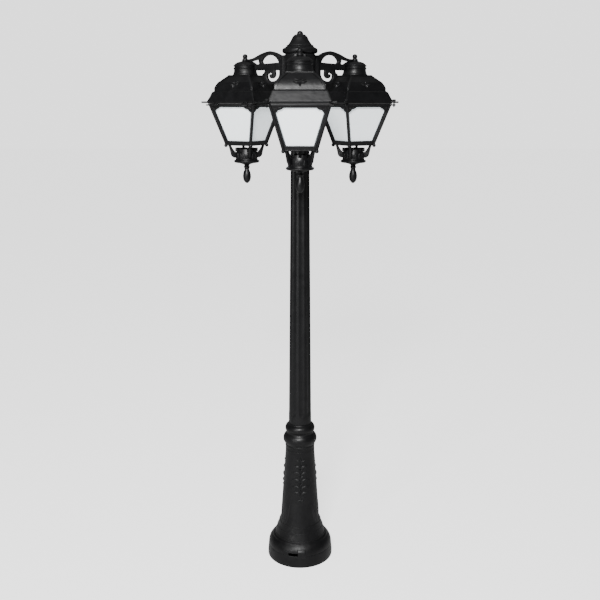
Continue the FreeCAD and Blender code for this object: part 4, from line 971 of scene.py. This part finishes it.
def roof_shells():
    """The vault, its lid under the cap, its ears and its knuckles."""
    rings = []
    for k, (half, height) in enumerate(roof_loop):
        ribbed = k < len(roof_loop) * outside_share and rib_low < height < rib_high
        rings.append(square_ring(half, height, rib_rise * mm if ribbed else 0))
    lid = eased(path((rod_bore, -4), (46, -4), (46, -0.3), (rod_bore, -0.3)), 0.3 * mm)
    shells = [skin(rings, closed=True), lathe(lid, 64)]
    shells += [ear(154, 169.6, 7.4, -roof_height + 0.2, -94.6, corner) for corner in square_corners]
    for side in sides:
        for end in sides:
            shells += knuckle(hinge_along * side + roof_knuckle_shift * end, 6, 103, -hinge_down, -97.5)
    return shells


def relief_mesh(name, shells, copies):
    """A mesh of copies of a relief all round a lantern's axis."""
    thing = piece(name, *shells)
    grown(thing, ring_of_copies, Copies=copies, Finish=cast_satin)
    mesh = thing.data
    bpy.data.objects.remove(thing)
    return mesh


def hung_relief(name, mesh, place, body):
    """A copy of a relief, in place on its lantern."""
    thing = new_object(name, mesh.copy())
    thing.data.transform(place)
    finished(thing, cast_satin, "black_resin", body)


leaf_mesh = relief_mesh("roof_leaves", roof_spray(), 4)
for side, place in lantern_places.items():
    in_place = [moved(shell, place) for shell in roof_shells()]
    cast(f"{side}_roof_cast", cast_satin, "root", f"{side}_roof", *in_place)
    hung_relief(f"{side}_roof_leaves", leaf_mesh, place, "root")

# Lamp, lamp holder and seal: a glass lamp in a moulded holder on the tie rod's end, and a strip of foam
# rubber glued under the eave, which the frame's rim presses on.
lamp_glass = moulded("lamp_glass", (0.86, 0.86, 0.83), (0.92, 0.92, 0.9), 0.16, 0.00002)
holder_moulding = moulded("holder_moulding", (0.72, 0.70, 0.65), (0.79, 0.78, 0.73), 0.4, 0.0001)
seal_foam = moulded("seal_foam", (0.022, 0.022, 0.022), (0.04, 0.04, 0.04), 0.75, 0.0004)
for side in side_azimuths:
    dressed(f"{side}_seal", seal_foam)
    dressed(f"{side}_lamp_holder", holder_moulding)
    dressed(f"{side}_lamp", lamp_glass)

# Frame: the tapered glazed casting that hangs from the roof's knuckles. A deep stile stands at each corner,
# and the walls between them stand back. Their windows carry scalloped brackets with a rosette. Rim, floor,
# toes, ears and knuckles are cast on.
frame_half = 102.5
flange_low = 110.3
frame_top = 104.3
frame_low = 255
frame_low_half = 60.7
wall_slope = math.degrees(math.atan2(frame_half - frame_low_half, frame_low - flange_low))
wall_stretch = 1 / math.cos(math.radians(wall_slope))
wall_inset = 4 / wall_stretch
wall_thick = 7.6
stile_deep = 17
stile_wide = 10.5
latch_ear = 159
hinge_ear = 152.5
petals = 6
rosette_across = 79.5
rosette_height = -10.6


def in_wall(*steps):
    """Steps drawn as across and height, with the heights measured along the sloping wall."""
    out = []
    for step in steps:
        flat = []
        for k in range(0, len(step), 2):
            flat += [step[k], (step[k + 1] + flange_low) * wall_stretch]
        out.append(tuple(flat))
    return out


def mirrored(points):
    """An outline's right half from the top down, and its mirror image back up."""
    return points + [Vector((-point.x, point.y)) for point in reversed(points)]


window = mirrored(path(*in_wall(
    (50, -117.2), (54, -117.8), (61.6, -122.9, 70.3, -124.6), (75.7, -131.7, 83.2, -136), (84, -138),
    (53.9, -239.6), (52.4, -241))))
wall = mirrored(path(*in_wall((98, -106), (98, -flange_low), (56.4, -254.6))))
wall_lean = (turn(wall_slope, "X"), shift(0, -frame_half, -flange_low))
stile_out = frame_half * math.sqrt(2) - 5.25
stile_low_out = frame_low_half * math.sqrt(2) - 5.25
stile = eased(path(
    (stile_out - stile_deep, -107), (stile_out, -107), (stile_out, -flange_low), (stile_low_out, -frame_low),
    (stile_low_out - stile_deep, -frame_low), (stile_out - stile_deep, -flange_low)), 2.4 * mm)
rim_section = eased(path(
    (96, -frame_top), (frame_half, -frame_top), (frame_half, -flange_low), (96, -flange_low)), 1.2 * mm)
sill_section = eased(path(
    (0, -250.7), (54, -250.7), (58.2, -251.6), (58.2, -254.8), (55, -256.2), (0, -256.2)), 0.8 * mm,
    closed=False)


def squared(profile, corner=3.0):
    """A shell like a picture frame, from its section as half width and height, with rounded corners."""
    rings = []
    for half, height in profile:
        if half < on_axis:
            rings.append([Vector((0, 0, height))])
            continue
        ease = min(corner * mm, half * 0.3)
        ring = []
        for quarter in range(4):
            for a in (0, 22.5, 45, 67.5, 90):
                x = half - ease + ease * math.sin(math.radians(a))
                y = -half + ease - ease * math.cos(math.radians(a))
                ring.append(turn(90 * quarter) @ Vector((x, y, height)))
        rings.append(ring)
    return skin(rings, closed=profile[0][0] > on_axis)


def ball(radius, x, y, z, squash=1.0):
    """A round ball at a place in millimetres."""
    levels = [math.radians(15 * k - 90) for k in range(13)]
    profile = [Vector((radius * math.cos(a), radius * squash * math.sin(a))) * mm for a in levels]
    profile[0].x = profile[-1].x = 0
    return moved(lathe(profile, 20), shift(x, y, z))


def frame_shells():
    """Walls, stiles, toes, rim, floor, ears and knuckles."""
    shells = []
    for quarter in range(4):
        around = turn(90 * quarter)
        outwards = shift(0, wall_inset + wall_thick / 2, 0)
        shells.append(plate([wall, window], wall_thick, 1.2, outwards, *wall_lean, around))
        shells.append(plate([stile], stile_wide, 2.2, turn(45), around))
        shells.append(moved(ball(7, 55.8, -55.8, -256, 0.98), around))
    shells += [squared(rim_section), squared(sill_section)]
    for corner in square_corners:
        tip = hinge_ear if abs(corner) == 45 else latch_ear
        shells.append(ear(tip - 12, tip, 7, -flange_low, -105.0, corner))
    for side in sides:
        shells += knuckle(hinge_along * side, 12, 100, -flange_low + 0.2, -frame_top - 0.3)
    return shells


def on_front_wall(across, height, out):
    """A point of relief on the wall towards -Y; height is measured along the wall from its top."""
    place = Vector((across, wall_inset - out, height)) * mm
    for matrix in wall_lean:
        place = matrix @ place
    return place


def rosettes():
    """Six petals round a centre in each upper corner of the wall."""
    shells = []
    for side in sides:
        x, y = rosette_across * side, rosette_height
        for petal in range(petals):
            shells.append(laid(leaf(7.2, 4.8, 1.9), x, y, 360 / petals * petal + 30, on_front_wall))
        shells.append(laid(leaf(4.4, 4.4, 2.8), x, y - 2.2, 0, on_front_wall))
        shells.append(laid(leaf(13, 4, 1.6, 24 * side), x - 7 * side, y + 3, -80 * side, on_front_wall))
    return shells


rosette_mesh = relief_mesh("frame_rosettes", rosettes(), 4)
for side, place in lantern_places.items():
    in_place = [moved(shell, place) for shell in frame_shells()]
    cast(f"{side}_frame_cast", cast_satin, f"{side}_glazing", f"{side}_frame", *in_place)
    hung_relief(f"{side}_frame_rosettes", rosette_mesh, place, f"{side}_glazing")

# Hinge pins: two plain pins of stainless steel for each lantern, pushed through the knuckles of roof and
# frame.
stainless = metal("stainless", (0.56, 0.56, 0.57), 0.22, 0.38, 160, 0.2)
for side in side_azimuths:
    dressed(f"{side}_hinge_pins", stainless)

# Panes: flat opal acrylic sheets, cut to the wall's shape and clipped in behind the windows. Daylight comes
# through them, which a faint glow stands for.
pane_glow = 0.75
opal_sheet, sheet_tree, sheet_shader = new_material("opal_sheet")
cloud = noise(sheet_tree, 9)
ramp(sheet_tree, cloud, sheet_shader.inputs["Base Color"],
     (0.3, (0.84, 0.88, 0.90)), (0.7, (0.89, 0.92, 0.94)))
ramp(sheet_tree, cloud, sheet_shader.inputs["Roughness"], (0.3, 0.2), (0.7, 0.3))
sheet_shader.inputs["Emission Color"].default_value = (0.80, 0.87, 0.90, 1)
sheet_shader.inputs["Emission Strength"].default_value = pane_glow
grain(sheet_tree, sheet_shader, (14, 0.0006))
for side in side_azimuths:
    dressed(f"{side}_panes", opal_sheet)

# Crown: a notched cup with a flange and an ogee underside, on four curled legs from the frame's corners, all
# one casting with upright lobes on its wall. The turned drop finial screws into it from below.
crown_section = eased(path(
    (31, -269), (35, -269), (36.6, -275), (38.2, -280), (39.4, -284), (40.9, -294, 39.6, -305), (42, -307.4),
    (42.4, -310.6), (44, -311.6), (48, -314, 47.6, -318.6), (44.8, -321.2), (40, -322),
    (29, -323.2, 19.5, -326.2), (13.5, -328.2, 10, -330.8), (4, -330.8), (4, -313), (31, -313)), 0.7 * mm)
crown_leg = eased(path(
    (70, -254.6), (65, -271, 61, -288), (55.6, -298.6, 43, -303), (36, -303), (36, -281), (43.5, -281),
    (50.5, -273, 60.5, -254.6)), 2.4 * mm)
leg_thick = 9
notch_bar = path((-43, -279), (43, -279), (43, -266), (-43, -266))
notch_width = 11
cup_radius = 40.6
cup_lobes = 16
drop_section = eased(path(
    (0, -329), (9.4, -329), (9.4, -333), (11.3, -338, 9.4, -343), (8.9, -347), (9.4, -349),
    (12.6, -356.4, 14.6, -364), (15.5, -375, 14, -384.8), (11, -391.6, 6.6, -396.6), (4, -399, 0, -399.5)),
    0.5 * mm, closed=False)


def on_cup(across, height, out):
    """A point of relief on the cup's wall."""
    return wrapped(across, height, cup_radius + out)


lobe_mesh = relief_mesh("crown_lobes", [laid(leaf(23, 7.6, 1.5, 0, 0), 0, -308, 0, on_cup)], cup_lobes)
for side, place in lantern_places.items():
    corner = place @ turn(45)
    legs = [plate([crown_leg], leg_thick, 2, turn(90 * k), corner) for k in range(4)]
    crown = piece(f"{side}_crown_cast", moved(lathe(crown_section, 96), corner), *legs)
    cut_away(crown, *[plate([notch_bar], notch_width, 0.01, turn(45 * k), corner) for k in range(4)])
    finished(crown, cast_satin, "black_resin", f"{side}_glazing", f"{side}_crown")
    hung_relief(f"{side}_crown_lobes", lobe_mesh, place, f"{side}_glazing")
    drop = moved(lathe(drop_section, 56), place)
    cast(f"{side}_drop_cast", cast_satin, f"{side}_glazing", f"{side}_drop_finial", drop)

# Hand screws: moulded thumb knobs with six scallops on a steel-cored shank. Two draw each frame's free
# corners up to the roof's ears.
latch_out = 150.5 / math.sqrt(2)
scallops = 6
scallop_depth = 0.2
shank_reach = 0.0045
screw_section = eased(path(
    (0, -115.3), (2.1, -115.3), (3, -114.1), (3, -94.2), (6.9, -94.2), (6.9, -89.3), (4.9, -87.4),
    (0, -87.2)), 0.5 * mm, closed=False)


def scalloped(angle, radius, height):
    """The knob's rim with its scallops; the shank stays round."""
    if radius < shank_reach:
        return radius, height
    bite = max(0, math.cos(scallops * angle)) ** 3
    return radius * (1 - scallop_depth * bite), height


for side, place in lantern_places.items():
    for which, end in (("outer", -1), ("inner", 1)):
        node = f"{side}_{which}_hand_screw"
        thumb = moved(lathe(screw_section, 60, scalloped), place @ shift(-latch_out, latch_out * end, 0))
        cast(f"{side}_{which}_thumb_screw", cast_satin, f"{node}_body", node, thumb)
